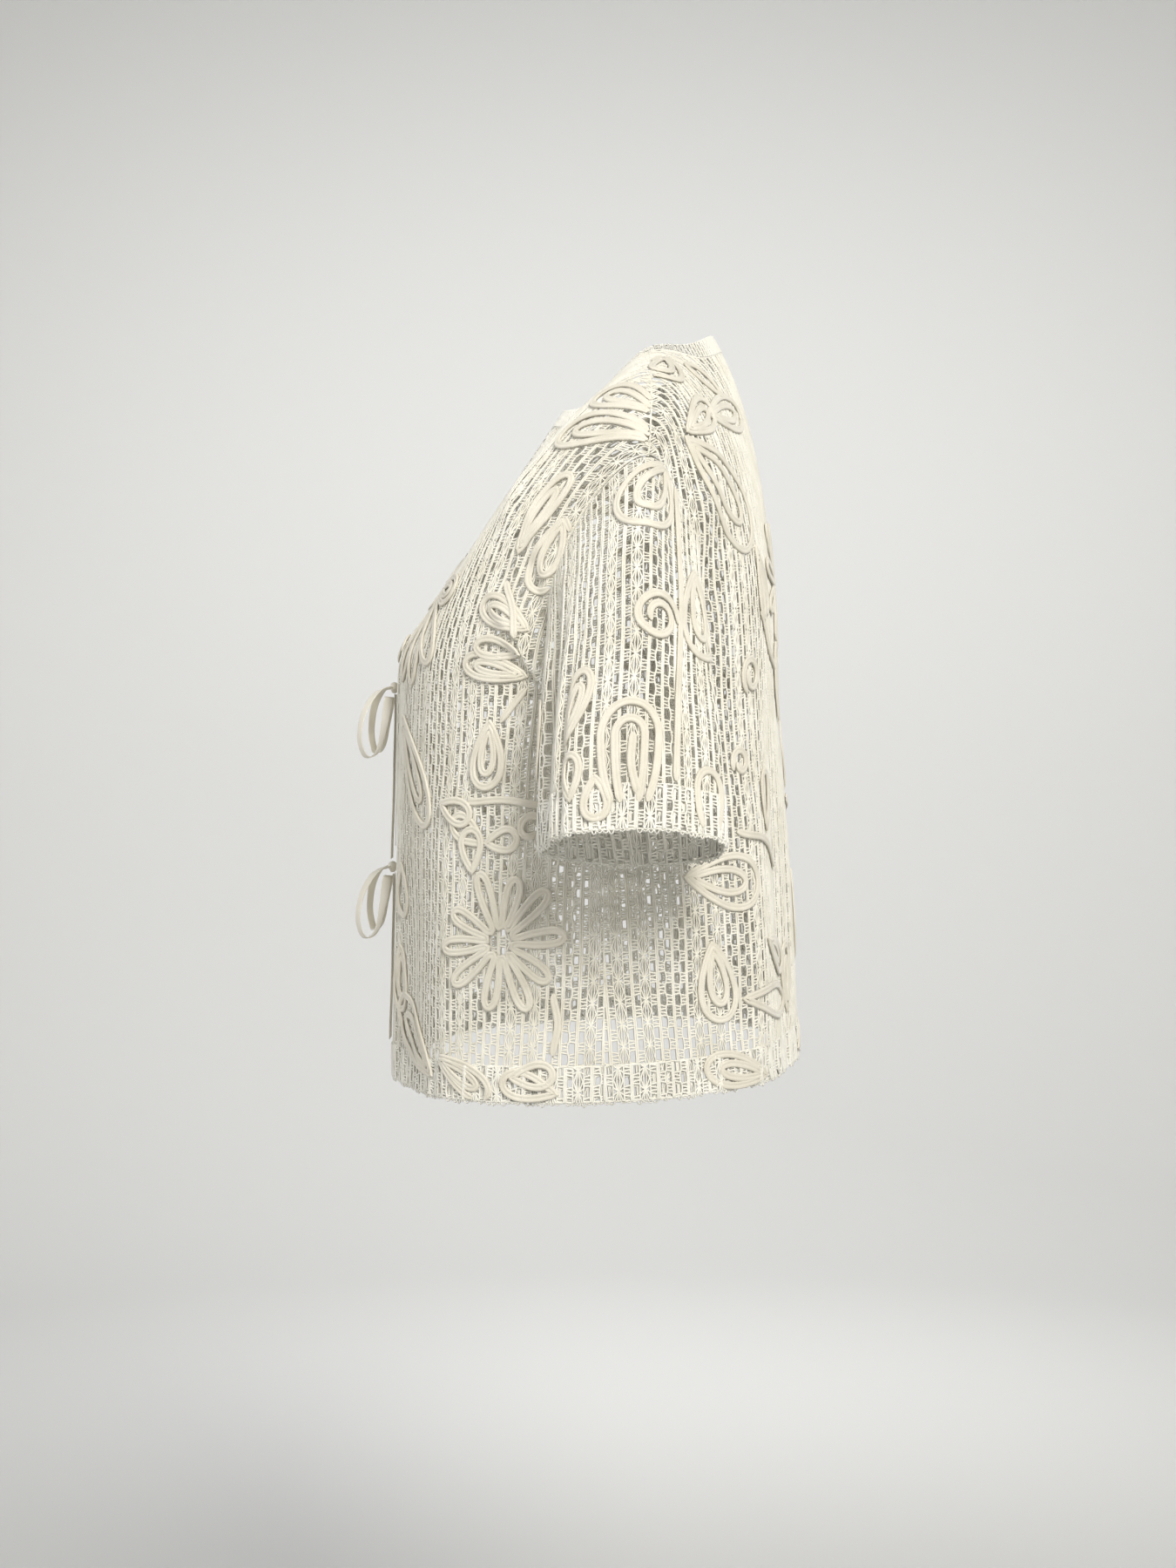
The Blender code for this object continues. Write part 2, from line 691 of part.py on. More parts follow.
def band_outline(starts, ends, height):
    """A hem band between two distances from the centre line, each given at its lower and its upper edge."""
    low = spaced((starts[0], 0.0), (ends[0], 0.0), 0.014)
    high = spaced((ends[1], height), (starts[1], height), 0.014)
    return low + [(ends[0], 0.0)] + high + [(starts[1], height)]


def sleeve_outline(cloth):
    half = SLEEVE_HALF - SEAM_GAP / 2
    base = CUFF_HEIGHT + SEAM_GAP
    cap = [(s, float(cloth.top(s)) - ARMHOLE_GAP) for s in np.linspace(half, -half, 31)]
    up = spaced((half, base), cap[0], 0.02)
    down = spaced(cap[-1], (-half, base), 0.02)
    return up + cap + down[1:] + spaced((-half, base), (half, base), 0.014)


# Ribbons

RIBBON_RUNS = (
    # piece, points (x, y, z) in millimetres from the knot, the ribbon's width at the knot and half way along
    (
        "loop_left",
        ((4.0, -1.2, 0), (11, -10, -3), (16, -18, -16), (18, -21, -33),
         (16, -17, -45), (11, -10, -42), (7, -6, -26), (4.6, -3, -6)),
        (0.25, 0.90, 0.35),
        (0.88, 0.46, 0.10),
    ),
    (
        "loop_right",
        ((-3.3, -1, 0), (-10, -9, -2), (-17, -15, -13), (-21, -17, -30),
         (-19, -14, -42), (-13, -9, -38), (-8, -6, -23), (-4.6, -3, -6)),
        (0.25, -0.90, -0.35),
        (0.88, -0.46, -0.10),
    ),
    (
        "tail_left",
        ((4.2, 1.2, -4.6), (7, 1.4, -22), (10, 1.0, -46), (9, 0.4, -72), (11, -0.4, -98), (10, -0.8, -111)),
        (1.00, -0.10, 0.05),
        (1.00, -0.10, 0.05),
    ),
    (
        "tail_right",
        ((-4.2, 1.2, -4.6), (-8, 1.4, -20), (-12, 1.0, -42), (-12, 0.4, -66), (-15, -0.4, -88),
         (-15, -0.6, -104)),
        (1.00, 0.10, 0.05),
        (1.00, 0.10, 0.05),
    ),
)
KNOTS = (
    # name, height
    ("upper", -0.210),
    ("lower", -0.327),
)


def smooth_run(points, step):
    """An even run of points on a smooth curve through the given ones."""
    points = np.array(points, float)
    before = 2 * points[0] - points[1]
    after = 2 * points[-1] - points[-2]
    line = np.concatenate([[before], points, [after]])
    dense = []
    for k in range(1, len(line) - 2):
        a, b, c, d = line[k - 1:k + 3]
        for part in np.linspace(0, 1, 12, endpoint=False):
            dense.append(
                0.5 * (2 * b + (c - a) * part + (2 * a - 5 * b + 4 * c - d) * part ** 2
                       + (3 * b - a - 3 * c + d) * part ** 3)
            )
    dense.append(points[-1])
    return resampled(np.array(dense), step)


def ribbon(name, knot, points, knot_way, middle_way):
    """A ribbon along a run of points, gathered where it comes out of the knot."""
    line = smooth_run(points, 4.5) / 1000 + knot
    ahead = np.gradient(line, axis=0)
    ahead /= np.linalg.norm(ahead, axis=1)[:, None]
    turn = np.sin(np.linspace(0, math.pi, len(line)))[:, None]
    way = np.array(knot_way) * (1 - turn) + np.array(middle_way) * turn
    side = way - ahead * (ahead * way).sum(axis=1)[:, None]
    side /= np.linalg.norm(side, axis=1)[:, None]
    from_knot = np.linalg.norm(line - knot, axis=1)[:, None]
    half = RIBBON_WIDTH / 2 * (1 - RIBBON_GATHER * np.exp(-(from_knot / RIBBON_GATHER_REACH) ** 2))
    return sheet_object(name, np.stack([line - side * half, line + side * half], 1), RIBBON_THICK)


def ribbon_root(name, front, t, mirror_x):
    """The flat end of a ribbon, sewn on the front edge beside and behind the knot."""
    out = BAND_WALL / 2 + SEAM_GAP + RIBBON_THICK / 2
    rows = []
    for s in np.linspace(ROOT_LENGTH, SEAM_GAP, 6):
        rows.append(front.points([(s, t - RIBBON_WIDTH / 2), (s, t + RIBBON_WIDTH / 2)], out))
    return sheet_object(name, rows, RIBBON_THICK, mirror_x)


def knot_object(name, place):
    """The tied knot: a small squarish lump of ribbon."""
    bpy.ops.mesh.primitive_uv_sphere_add(segments=12, ring_count=8, radius=0.5, location=place)
    knot = bpy.context.object
    knot.name = name
    for vertex in knot.data.vertices:
        x, y, z = vertex.co
        vertex.co = (x * 0.0058, y * 0.0060, z * 0.0074)
    knot.data.shade_smooth()
    return knot


# Materials and the whole garment

def painted(objects, name, colour, roughness):
    material = bpy.data.materials.new(name)
    material.use_nodes = True
    shader = material.node_tree.nodes["Principled BSDF"]
    shader.inputs["Base Color"].default_value = (*colour, 1)
    shader.inputs["Roughness"].default_value = roughness
    shader.inputs["Metallic"].default_value = 0.0
    for made in objects:
        made.data.materials.append(material)


def neck_rows(front, back, front_low, rear_low):
    """Rows across the neck edge, from the left front centre over the back to the right front centre."""
    rows = []
    inner = neckline(front, front_low, CENTRE_GAP, 0.0)
    outer = neckline(front, front_low, CENTRE_GAP, NECK_WIDTH)
    left = [front.points([a, ((a[0] + b[0]) / 2, (a[1] + b[1]) / 2), b]) for a, b in zip(inner, outer)]
    inner = neckline(back, rear_low, 0.0, 0.0)[::-1]
    outer = neckline(back, rear_low, 0.0, NECK_WIDTH)[::-1]
    rear = [back.points([a, ((a[0] + b[0]) / 2, (a[1] + b[1]) / 2), b]) for a, b in zip(inner, outer)]
    flip = np.array([-1, 1, 1])
    rows += left
    rows += rear[1:]
    rows += [row * flip for row in rear[-2::-1]]
    rows += [row * flip for row in left[-2::-1]]
    return rows


def edge_rows(front, low_t):
    """Rows up a turned front edge, from the hem band to the neck edge."""
    curve = np.array(neckline(front, low_t, CENTRE_GAP, NECK_WIDTH + NECK_GAP)).T
    across = np.linspace(CENTRE_GAP, EDGE_WIDTH, 3)
    tops = np.interp(across, *curve)
    rows = []
    for part in np.linspace(0, 1, 23):
        base = BAND_HEIGHT + SEAM_GAP
        rows.append(front.points([(s, base + (top - base) * part) for s, top in zip(across, tops)]))
    return rows


def build():
    for old in list(bpy.data.objects):
        bpy.data.objects.remove(old, do_unlink=True)
    front, back = body_cloths()
    sleeve = sleeve_cloth(front, back)
    front_low = height_to_t(front, 0.0, FRONT_NECK_Z)
    rear_low = height_to_t(back, 0.0, REAR_NECK_Z)
    front_braid = braid_lines(FRONT_BRAID, False)
    back_braid = braid_lines(BACK_BRAID, True)
    sleeve_braid = braid_lines(SLEEVE_BRAID, False)
    hem_levels = (HEM_Z + HEM_TILT * SIDE_Y, HEM_Z + HEM_TILT * SIDE_Y + BAND_HEIGHT)
    front_sides = [side_s(z, False) - SEAM_GAP / 2 for z in hem_levels]
    back_sides = [side_s(z, True) - SEAM_GAP / 2 for z in hem_levels]
    half = SLEEVE_HALF - SEAM_GAP / 2

    lace = [wall("back", back, back_panel_outline(back, rear_low), back_braid, WALL, 0.024)]
    outline = band_outline([-s for s in back_sides], back_sides, BAND_HEIGHT)
    bands = [wall("hem_back", back, outline, back_braid, BAND_WALL, 0.012)]
    for side, mirror_x in (("left", False), ("right", True)):
        outline = front_panel_outline(front, front_low)
        lace.append(wall("front_" + side, front, outline, front_braid, WALL, 0.024, mirror_x))
        outline = sleeve_outline(sleeve)
        lace.append(wall("sleeve_" + side, sleeve, outline, sleeve_braid, WALL, 0.022, mirror_x))
        outline = band_outline((CENTRE_GAP, CENTRE_GAP), front_sides, BAND_HEIGHT)
        bands.append(wall("hem_front_" + side, front, outline, front_braid, BAND_WALL, 0.012, mirror_x))
        outline = band_outline((-half, -half), (half, half), CUFF_HEIGHT)
        bands.append(wall("cuff_" + side, sleeve, outline, sleeve_braid, BAND_WALL, 0.012, mirror_x))
        bands.append(sheet_object("front_edge_" + side, edge_rows(front, front_low), BAND_WALL, mirror_x))
    bands.append(sheet_object("neck_edge", neck_rows(front, back, front_low, rear_low), BAND_WALL))

    ribbons = []
    for level, height in KNOTS:
        t = height_to_t(front, 0.0, height)
        face = front.points([(CENTRE_GAP, t)], BAND_WALL / 2)[0]
        knot = np.array([0.0, face[1] - KNOT_AHEAD, height])
        ribbons.append(knot_object("knot_" + level, knot))
        ribbons.append(ribbon_root("root_left_" + level, front, t, False))
        ribbons.append(ribbon_root("root_right_" + level, front, t, True))
        for piece, points, knot_way, middle_way in RIBBON_RUNS:
            ribbons.append(ribbon(f"{piece}_{level}", knot, points, knot_way, middle_way))

    painted(lace, "cotton_lace", (0.86, 0.85, 0.80), 0.85)
    painted(bands, "cotton_lace_doubled", (0.90, 0.89, 0.85), 0.85)
    painted(ribbons, "satin_ribbon", (0.84, 0.82, 0.74), 0.45)
    garment = bpy.data.collections.new("lace_cardigan")
    bpy.context.scene.collection.children.link(garment)
    for made in lace + bands + ribbons:
        for holder in list(made.users_collection):
            holder.objects.unlink(made)
        garment.objects.link(made)


build()
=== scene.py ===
import copy
import math

import bmesh
import bpy
import numpy as np
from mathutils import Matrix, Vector


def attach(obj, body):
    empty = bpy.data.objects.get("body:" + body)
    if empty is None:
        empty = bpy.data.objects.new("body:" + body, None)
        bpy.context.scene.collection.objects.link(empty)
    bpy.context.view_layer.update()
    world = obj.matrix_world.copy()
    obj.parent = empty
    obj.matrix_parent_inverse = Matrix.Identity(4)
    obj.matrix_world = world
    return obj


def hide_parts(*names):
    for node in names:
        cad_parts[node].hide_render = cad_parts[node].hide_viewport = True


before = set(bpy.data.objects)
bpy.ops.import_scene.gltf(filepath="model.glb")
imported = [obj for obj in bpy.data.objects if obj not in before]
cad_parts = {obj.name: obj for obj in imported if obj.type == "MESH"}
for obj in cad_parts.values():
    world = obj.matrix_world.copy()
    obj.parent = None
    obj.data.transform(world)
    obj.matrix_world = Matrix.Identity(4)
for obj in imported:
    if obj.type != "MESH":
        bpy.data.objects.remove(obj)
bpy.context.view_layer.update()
print("frame loaded:", len(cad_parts), "nodes")


# Camera: level with the middle of the garment, at the wearer's left side

view = {
    "place": (1.42, -0.037, -0.253),  # metres
    "focalPixels": 2491,  # in the photograph's 1800 pixel height
    "imageHeight": 1800,
    "horizonRow": 865,
    "sensor": 36.0,  # mm, along the image's long side
}


def addCamera():
    data = bpy.data.cameras.new("camera")
    data.sensor_width = view["sensor"]
    data.lens = view["focalPixels"] / view["imageHeight"] * view["sensor"]
    data.clip_start = 0.05
    camera = bpy.data.objects.new("camera", data)
    bpy.context.scene.collection.objects.link(camera)
    camera.location = view["place"]
    droop = math.atan((view["imageHeight"] / 2 - view["horizonRow"]) / view["focalPixels"])
    camera.rotation_euler = (math.pi / 2 - droop, 0, math.pi / 2)
    bpy.context.scene.camera = camera


addCamera()


# The cut of the body, in metres: s runs across the lace from the centre line, t up its wales from the hem

bodyCut = {
    "sections": (
        # height, half width, front depth, rear depth
        (-0.450, 0.199, 0.1610, 0.0965),
        (-0.400, 0.197, 0.1595, 0.0935),
        (-0.330, 0.195, 0.1590, 0.0900),
        (-0.270, 0.193, 0.1590, 0.0870),
        (-0.215, 0.190, 0.1580, 0.0835),
        (-0.150, 0.186, 0.1560, 0.0800),
    ),
    "squareness": 2.3,
    "sideY": -0.028,
    "hemZ": -0.4482,
    "hemTilt": 0.042,
    "hemBand": 0.020,
    "shoulderSlope": 0.38,
    "shoulderRound": 6.5,
    "shoulderDraw": 1.2,  # how the tip is drawn in towards the neck
    "roundFrom": 0.145,
    "rearSpringZ": -0.215,  # where a wale leaves the upright body for the shoulder
    "frontSpringZ": -0.190,
    "frontSpringDrop": 0.020,  # how much lower that is at the side
    # how full the turn over the shoulder is near the neck and at the side, and between which s it changes
    "rearTurn": (2.30, 2.05, 0.06, 0.16),
    "frontTurn": (1.02, 1.64, 0.05, 0.20),
    "neckS": 0.0765,
    "tipS": 0.214,
    "neckRise": 0.030,
    "neckRoundness": 0.9,
    "neckStand": 0.004,  # the rear neck stands up a little, round this s and y and over this reach
    "neckStandAt": (0.052, 0.034),
    "neckStandReach": (0.030, 0.022),
    "neckBand": 0.012,
    "neckGap": 0.0005,
    "frontNeckZ": -0.031,
    "rearNeckZ": 0.017,
    "edgeBand": 0.022,
    "centreGap": 0.003,
    "underarmZ": -0.234,
    # how the armhole leaves the shoulder tip and reaches the underarm
    "rearArmhole": ((-0.054, -0.050), (-0.062, 0.004)),
    "frontArmhole": ((0.002, -0.080), (-0.046, 0.004)),
}

hemFoot = bodyCut["hemZ"] + bodyCut["hemTilt"] * bodyCut["sideY"]
neckInset = bodyCut["neckBand"] + bodyCut["neckGap"]
seamGap = 0.0003
bandTop = bodyCut["hemBand"] + seamGap
bothSides = (("left", False), ("right", True))  # name, mirrored

sleeveCut = {
    "half": 0.165,
    "cuffCentre": (0.2480, -0.0117, -0.3037),
    "cuffLean": 14.5,  # degrees
    "cuffOut": 0.0470,
    "cuffFore": 0.0505,
    "cuffBand": 0.024,
    "armholeGap": 0.0024,
}

# Creases as soft troughs and ridges: s0, t0, s1, t1, half width, depth
frontFolds = (
    (0.262, 0.205, 0.165, 0.345, 0.010, -0.0050),
    (0.266, 0.185, 0.190, 0.300, 0.010, 0.0050),
    (0.262, 0.215, 0.140, 0.385, 0.012, 0.0045),
    (0.262, 0.150, 0.225, 0.240, 0.012, -0.0045),
    (0.060, -0.040, 0.070, 0.170, 0.016, 0.0030),
    (0.110, -0.040, 0.105, 0.140, 0.018, -0.0030),
    (0.165, -0.040, 0.160, 0.190, 0.018, 0.0030),
    (0.220, -0.040, 0.222, 0.130, 0.018, -0.0035),
    (0.258, 0.190, 0.200, 0.262, 0.004, -0.0024),
    (0.256, 0.206, 0.176, 0.298, 0.004, 0.0022),
    (0.250, 0.226, 0.196, 0.318, 0.004, -0.0026),
    (0.246, 0.244, 0.216, 0.330, 0.004, 0.0020),
    (0.236, 0.256, 0.158, 0.372, 0.005, -0.0020),
    (0.240, 0.120, 0.236, 0.222, 0.005, 0.0022),
    (0.040, 0.150, 0.052, 0.330, 0.007, 0.0016),
    (0.086, 0.010, 0.082, 0.120, 0.007, -0.0018),
)
backFolds = (
    (0.040, -0.040, 0.038, 0.200, 0.020, 0.0030),
    (0.095, -0.040, 0.100, 0.230, 0.018, -0.0035),
    (0.150, -0.040, 0.148, 0.180, 0.018, 0.0035),
    (0.205, -0.040, 0.200, 0.150, 0.018, -0.0030),
    (0.235, 0.200, 0.165, 0.330, 0.012, -0.0040),
    (0.225, 0.245, 0.140, 0.390, 0.014, 0.0035),
    (0.232, 0.180, 0.184, 0.276, 0.005, 0.0022),
    (0.226, 0.206, 0.166, 0.300, 0.005, -0.0024),
    (0.060, 0.040, 0.064, 0.170, 0.007, -0.0016),
    (0.172, 0.020, 0.176, 0.130, 0.007, -0.0018),
)
sleeveFolds = (
    (-0.072, -0.030, -0.066, 0.150, 0.010, -0.0050),
    (-0.100, -0.030, -0.092, 0.120, 0.011, 0.0045),
    (-0.035, -0.030, -0.040, 0.110, 0.014, 0.0025),
    (0.040, -0.030, 0.035, 0.130, 0.014, -0.0025),
    (0.090, -0.030, 0.080, 0.140, 0.012, -0.0045),
    (0.118, -0.030, 0.110, 0.100, 0.012, 0.0040),
    (-0.056, 0.020, -0.050, 0.130, 0.004, 0.0018),
    (-0.047, 0.000, -0.043, 0.140, 0.0035, -0.0022),
    (-0.066, 0.010, -0.060, 0.160, 0.0040, 0.0024),
    (-0.076, 0.000, -0.070, 0.130, 0.0035, -0.0024),
    (-0.096, 0.010, -0.090, 0.110, 0.0040, -0.0020),
    (-0.084, 0.010, -0.078, 0.110, 0.004, 0.0018),
    (0.020, -0.020, 0.022, 0.070, 0.006, 0.0012),
    (0.064, 0.000, 0.060, 0.120, 0.005, 0.0018),
)


def lengthsAlong(line):
    steps = np.linalg.norm(np.diff(line, axis=0), axis=1)
    return np.concatenate([[0], np.cumsum(steps)])


def placesOn(line, along, at):
    # the places on a line at the given lengths along it
    return np.stack([np.interp(at, along, line[:, k]) for k in range(line.shape[1])], -1)


def resampled(line, step):
    along = lengthsAlong(line)
    return placesOn(line, along, np.linspace(0, along[-1], max(round(along[-1] / step), 1) + 1))


def unit(vectors):
    return vectors / np.maximum(np.linalg.norm(vectors, axis=-1), 1e-12)[..., None]


def halfRing(z):
    # half the body's outline at height z, from centre front to centre back, and the way along it
    sections = np.array(bodyCut["sections"])
    width, front, rear = (np.interp(z, sections[:, 0], sections[:, k]) for k in (1, 2, 3))
    turn = np.linspace(0, math.pi / 2, 81)
    power = 2 / bodyCut["squareness"]
    side = bodyCut["sideY"]
    x = width * np.sin(turn) ** power
    fore = side + (-front - side) * np.clip(np.cos(turn), 0, 1) ** power
    aft = side + (rear - side) * np.clip(np.cos(turn), 0, 1) ** power
    ring = np.concatenate([np.stack([x, fore], 1), np.stack([x, aft], 1)[-2::-1]])
    return ring, lengthsAlong(ring)


def sideS(z, rear):
    ring, along = halfRing(z)
    seam = along[len(ring) // 2]
    return along[-1] - seam if rear else seam


def ringPoint(z, s, rear):
    ring, along = halfRing(z)
    return placesOn(ring, along, along[-1] - s if rear else s)


def shoulderPoint(s):
    neckS = bodyCut["neckS"]
    outside = max(s - bodyCut["roundFrom"], 0.0)
    z = bodyCut["shoulderSlope"] * (neckS - s) - bodyCut["shoulderRound"] * outside ** 2
    if s < neckS:
        inside = 1 - (s / neckS) ** 2
        z = bodyCut["shoulderSlope"] * neckS / 2 * inside + bodyCut["neckRise"] * inside ** 2
    return np.array([s - bodyCut["shoulderDraw"] * outside ** 2, 0.0, z])


def eased(value, low, high):
    part = np.clip((value - low) / (high - low), 0, 1)
    return part * part * (3 - 2 * part)


def climb(s, rear):
    # one wale from the hem to the top of the shoulder
    springZ = bodyCut["rearSpringZ"]
    if not rear:
        springZ = bodyCut["frontSpringZ"] - bodyCut["frontSpringDrop"] * eased(s, 0.05, 0.22)
    near, far, low, high = bodyCut["rearTurn" if rear else "frontTurn"]
    power = 2 / (near + (far - near) * eased(s, low, high))
    standS, standY = bodyCut["neckStandAt"]
    reachS, reachY = bodyCut["neckStandReach"]
    hemZ = bodyCut["hemZ"]
    foot = ringPoint(hemZ, s, rear)
    lower = []
    for part in np.linspace(0, 1, 14):
        z = (hemZ + bodyCut["hemTilt"] * foot[1]) * (1 - part) + springZ * part
        lower.append((*ringPoint(z, s, rear), z))
    spring = np.array(lower[-1])
    top = shoulderPoint(s)
    upper = []
    for turn in np.linspace(0, math.pi / 2, 26)[1:]:
        out = max(math.cos(turn), 0.0) ** power
        up = math.sin(turn) ** power
        x, y = top[:2] + (spring[:2] - top[:2]) * out
        z = spring[2] + (top[2] - spring[2]) * up
        if rear:
            away = ((s - standS) / reachS) ** 2 + ((y - standY) / reachY) ** 2
            z += bodyCut["neckStand"] * math.exp(-away)
        upper.append((x, y, z))
    return np.array(lower + upper)


def softened(line, reach):
    weights = np.hanning(2 * reach + 3)[1:-1]
    weights /= weights.sum()
    head = 2 * line[0] - line[reach:0:-1]
    tail = 2 * line[-1] - line[-2:-reach - 2:-1]
    padded = np.concatenate([head, line, tail])
    return np.stack([np.convolve(padded[:, k], weights, "valid") for k in range(3)], 1)


class Cloth:
    # a grid of wales: column i is at s = first + i * across, row j at t = j * up

    def __init__(self, columns, first, across, tops, outward, folds, mirrored=False, up=0.004):
        self.grid = np.array(columns)
        self.first = first
        self.across = across
        self.tops = np.array(tops)
        self.outward = outward
        self.folds = folds
        self.mirrored = mirrored
        self.up = up

    def held(self, s):
        # a mirrored cloth holds one half only
        return np.abs(s) if self.mirrored else s

    def top(self, s):
        return np.interp(self.held(s), self.first + self.across * np.arange(len(self.tops)), self.tops)

    def plain(self, st):
        s, grid = self.held(st[..., 0]), self.grid
        a = (s - self.first) / self.across
        b = st[..., 1] / self.up
        i = np.clip(np.floor(a), 0, grid.shape[0] - 2).astype(int)
        j = np.clip(np.floor(b), 0, grid.shape[1] - 2).astype(int)
        u, v = np.clip(a - i, -2, 3)[..., None], np.clip(b - j, -2, 3)[..., None]
        lower = grid[i, j] * (1 - u) + grid[i + 1, j] * u
        upper = grid[i, j + 1] * (1 - u) + grid[i + 1, j + 1] * u
        found = lower * (1 - v) + upper * v
        if self.mirrored:
            found[..., 0] *= np.where(st[..., 0] < 0, -1, 1)
        return found

    def foldHeight(self, st):
        s = self.held(st[..., 0])
        height = np.zeros(s.shape)
        for s0, t0, s1, t1, halfWidth, depth in self.folds:
            run = np.array([s1 - s0, t1 - t0])
            length = np.linalg.norm(run)
            fromStart = np.stack([s - s0, st[..., 1] - t0], -1)
            along = fromStart @ run / length ** 2
            aside = (fromStart[..., 0] * run[1] - fromStart[..., 1] * run[0]) / length
            fade = np.sin(math.pi * np.clip(along, 0, 1)) ** 0.7
            height += depth * fade * np.exp(-(aside / halfWidth) ** 2)
        return height

    def normals(self, surface, st, step):
        across = surface(st + [step, 0]) - surface(st - [step, 0])
        up = surface(st + [0, step]) - surface(st - [0, step])
        return unit(np.cross(across, up) * self.outward)

    def plainOut(self, st):
        return self.normals(self.plain, st, 0.003)

    def points(self, st, out=0.0):
        # the worn place of each flat point, moved out of the garment by out
        st = np.asarray(st, float)
        lift = (self.foldHeight(st) + out)[..., None]
        return self.plain(st) + self.plainOut(st) * lift

    def facesOut(self, st):
        # the direction out of the creased cloth
        return self.normals(self.points, np.asarray(st, float), 0.0015)


def bodyCloths():
    across, rows, up = 0.005, 150, 0.004
    fronts, rears, frontTops, rearTops = [], [], [], []
    for s in np.arange(0, 0.301, across):
        front, rear = climb(s, False), climb(s, True)
        frontShare, rearShare = lengthsAlong(front)[-1], lengthsAlong(rear)[-1]
        wale = softened(resampled(np.concatenate([front, rear[-2::-1]]), 0.003), 6)
        along = lengthsAlong(wale)
        crest = along[-1] * frontShare / (frontShare + rearShare)
        at = np.arange(rows) * up
        fronts.append(placesOn(wale, along, at))
        rears.append(placesOn(wale, along, along[-1] - at))
        frontTops.append(crest)
        rearTops.append(along[-1] - crest)
    front = Cloth(fronts, 0.0, across, frontTops, 1, frontFolds)
    back = Cloth(rears, 0.0, across, rearTops, -1, backFolds, mirrored=True)
    return front, back


def heightToT(cloth, s, z):
    t = np.arange(0, cloth.top(s), 0.002)
    heights = cloth.plain(np.stack([np.full(len(t), s), t], 1))[:, 2]
    return float(np.interp(z, heights, t))


def sideSeam(rear, heights):
    return [(sideS(z, rear), z - hemFoot) for z in heights]


def armhole(cloth, rear, count=40):
    # the armhole on the flat panel, from the shoulder tip down to the underarm
    tip = np.array([bodyCut["tipS"], cloth.top(bodyCut["tipS"])])
    foot = np.array(sideSeam(rear, [bodyCut["underarmZ"]])[0])
    fromTip, toFoot = bodyCut["rearArmhole" if rear else "frontArmhole"]
    part = np.linspace(0, 1, count)[:, None]
    return (
        tip * (1 - part) ** 3
        + 3 * (tip + fromTip) * part * (1 - part) ** 2
        + 3 * (foot + toFoot) * part ** 2 * (1 - part)
        + foot * part ** 3
    )


def neckline(cloth, lowT, centreS, inset, count=33):
    # the neckline on the flat panel from the centre line to the shoulder, round as seen from above
    endS = bodyCut["neckS"] + inset
    depth = abs(cloth.plain(np.array([[0.0, lowT - inset]]))[0, 1])
    line = []
    for turn in np.linspace(0, math.pi / 2, count):
        s = centreS + (endS - centreS) * math.sin(turn)
        t = np.linspace(lowT - 0.05, float(cloth.top(s)), 60)
        reach = np.abs(cloth.plain(np.stack([np.full(len(t), s), t], 1))[:, 1])
        want = -depth * max(math.cos(turn), 0.0) ** bodyCut["neckRoundness"]
        line.append((s, float(np.interp(want, -reach, t))))
    return line[:-1] + [(endS, float(cloth.top(endS)))]


def sleeveCloth(front, back):
    # s runs from the underarm by the front, the top and the back
    fore = front.points(armhole(front, False)[::-1])
    aft = back.points(armhole(back, True))

    def share(line, part):
        along = lengthsAlong(line)
        return placesOn(line, along, part * along[-1])

    lean = math.radians(sleeveCut["cuffLean"])
    leanUp = np.array([-math.sin(lean), 0, math.cos(lean)])
    leanOut = np.array([math.cos(lean), 0, math.sin(lean)])
    arrivals = np.array((
        # turn, x, y, z
        (0.0, -0.80, 0.00, 0.60),
        (0.5, -0.62, 0.00, 0.78),
        (0.8, -0.80, 0.00, 0.60),
        (1.0, -0.92, 0.00, 0.38),
    ))
    columns, tops = [], []
    turns = np.linspace(-1, 1, 67)
    for turn in turns:
        start = (
            np.array(sleeveCut["cuffCentre"])
            + sleeveCut["cuffOut"] * math.cos(math.pi * turn) * leanOut
            + np.array([0, sleeveCut["cuffFore"] * math.sin(math.pi * turn), 0])
        )
        end = share(fore, turn + 1) if turn < 0 else share(aft, turn)
        arrive = unit(placesOn(arrivals[:, 1:], arrivals[:, 0], abs(turn)))
        reach = np.linalg.norm(end - start)
        part = np.linspace(0, 1, 60)[:, None]
        line = (
            (2 * part ** 3 - 3 * part ** 2 + 1) * start
            + (part ** 3 - 2 * part ** 2 + part) * leanUp * reach * 0.9
            + (3 * part ** 2 - 2 * part ** 3) * end
            + (part ** 3 - part ** 2) * arrive * reach * 1.1
        )
        along = lengthsAlong(line)
        tops.append(along[-1])
        # carried on straight past the seam, so that yarns can cross it before they are cut
        spare = 0.2
        line = np.concatenate([line, [line[-1] + (line[-1] - line[-2]) / (along[-1] - along[-2]) * spare]])
        columns.append(placesOn(line, np.append(along, along[-1] + spare), np.arange(80) * 0.004))
    half = sleeveCut["half"]
    return Cloth(columns, -half, 2 * half / (len(turns) - 1), tops, 1, sleeveFolds)


frontCloth, backCloth = bodyCloths()
sleeveClothLeft = sleeveCloth(frontCloth, backCloth)
frontLowT = heightToT(frontCloth, 0.0, bodyCut["frontNeckZ"])
rearLowT = heightToT(backCloth, 0.0, bodyCut["rearNeckZ"])
print("cloths worked out")


# Outlines of the cut pieces on the flat

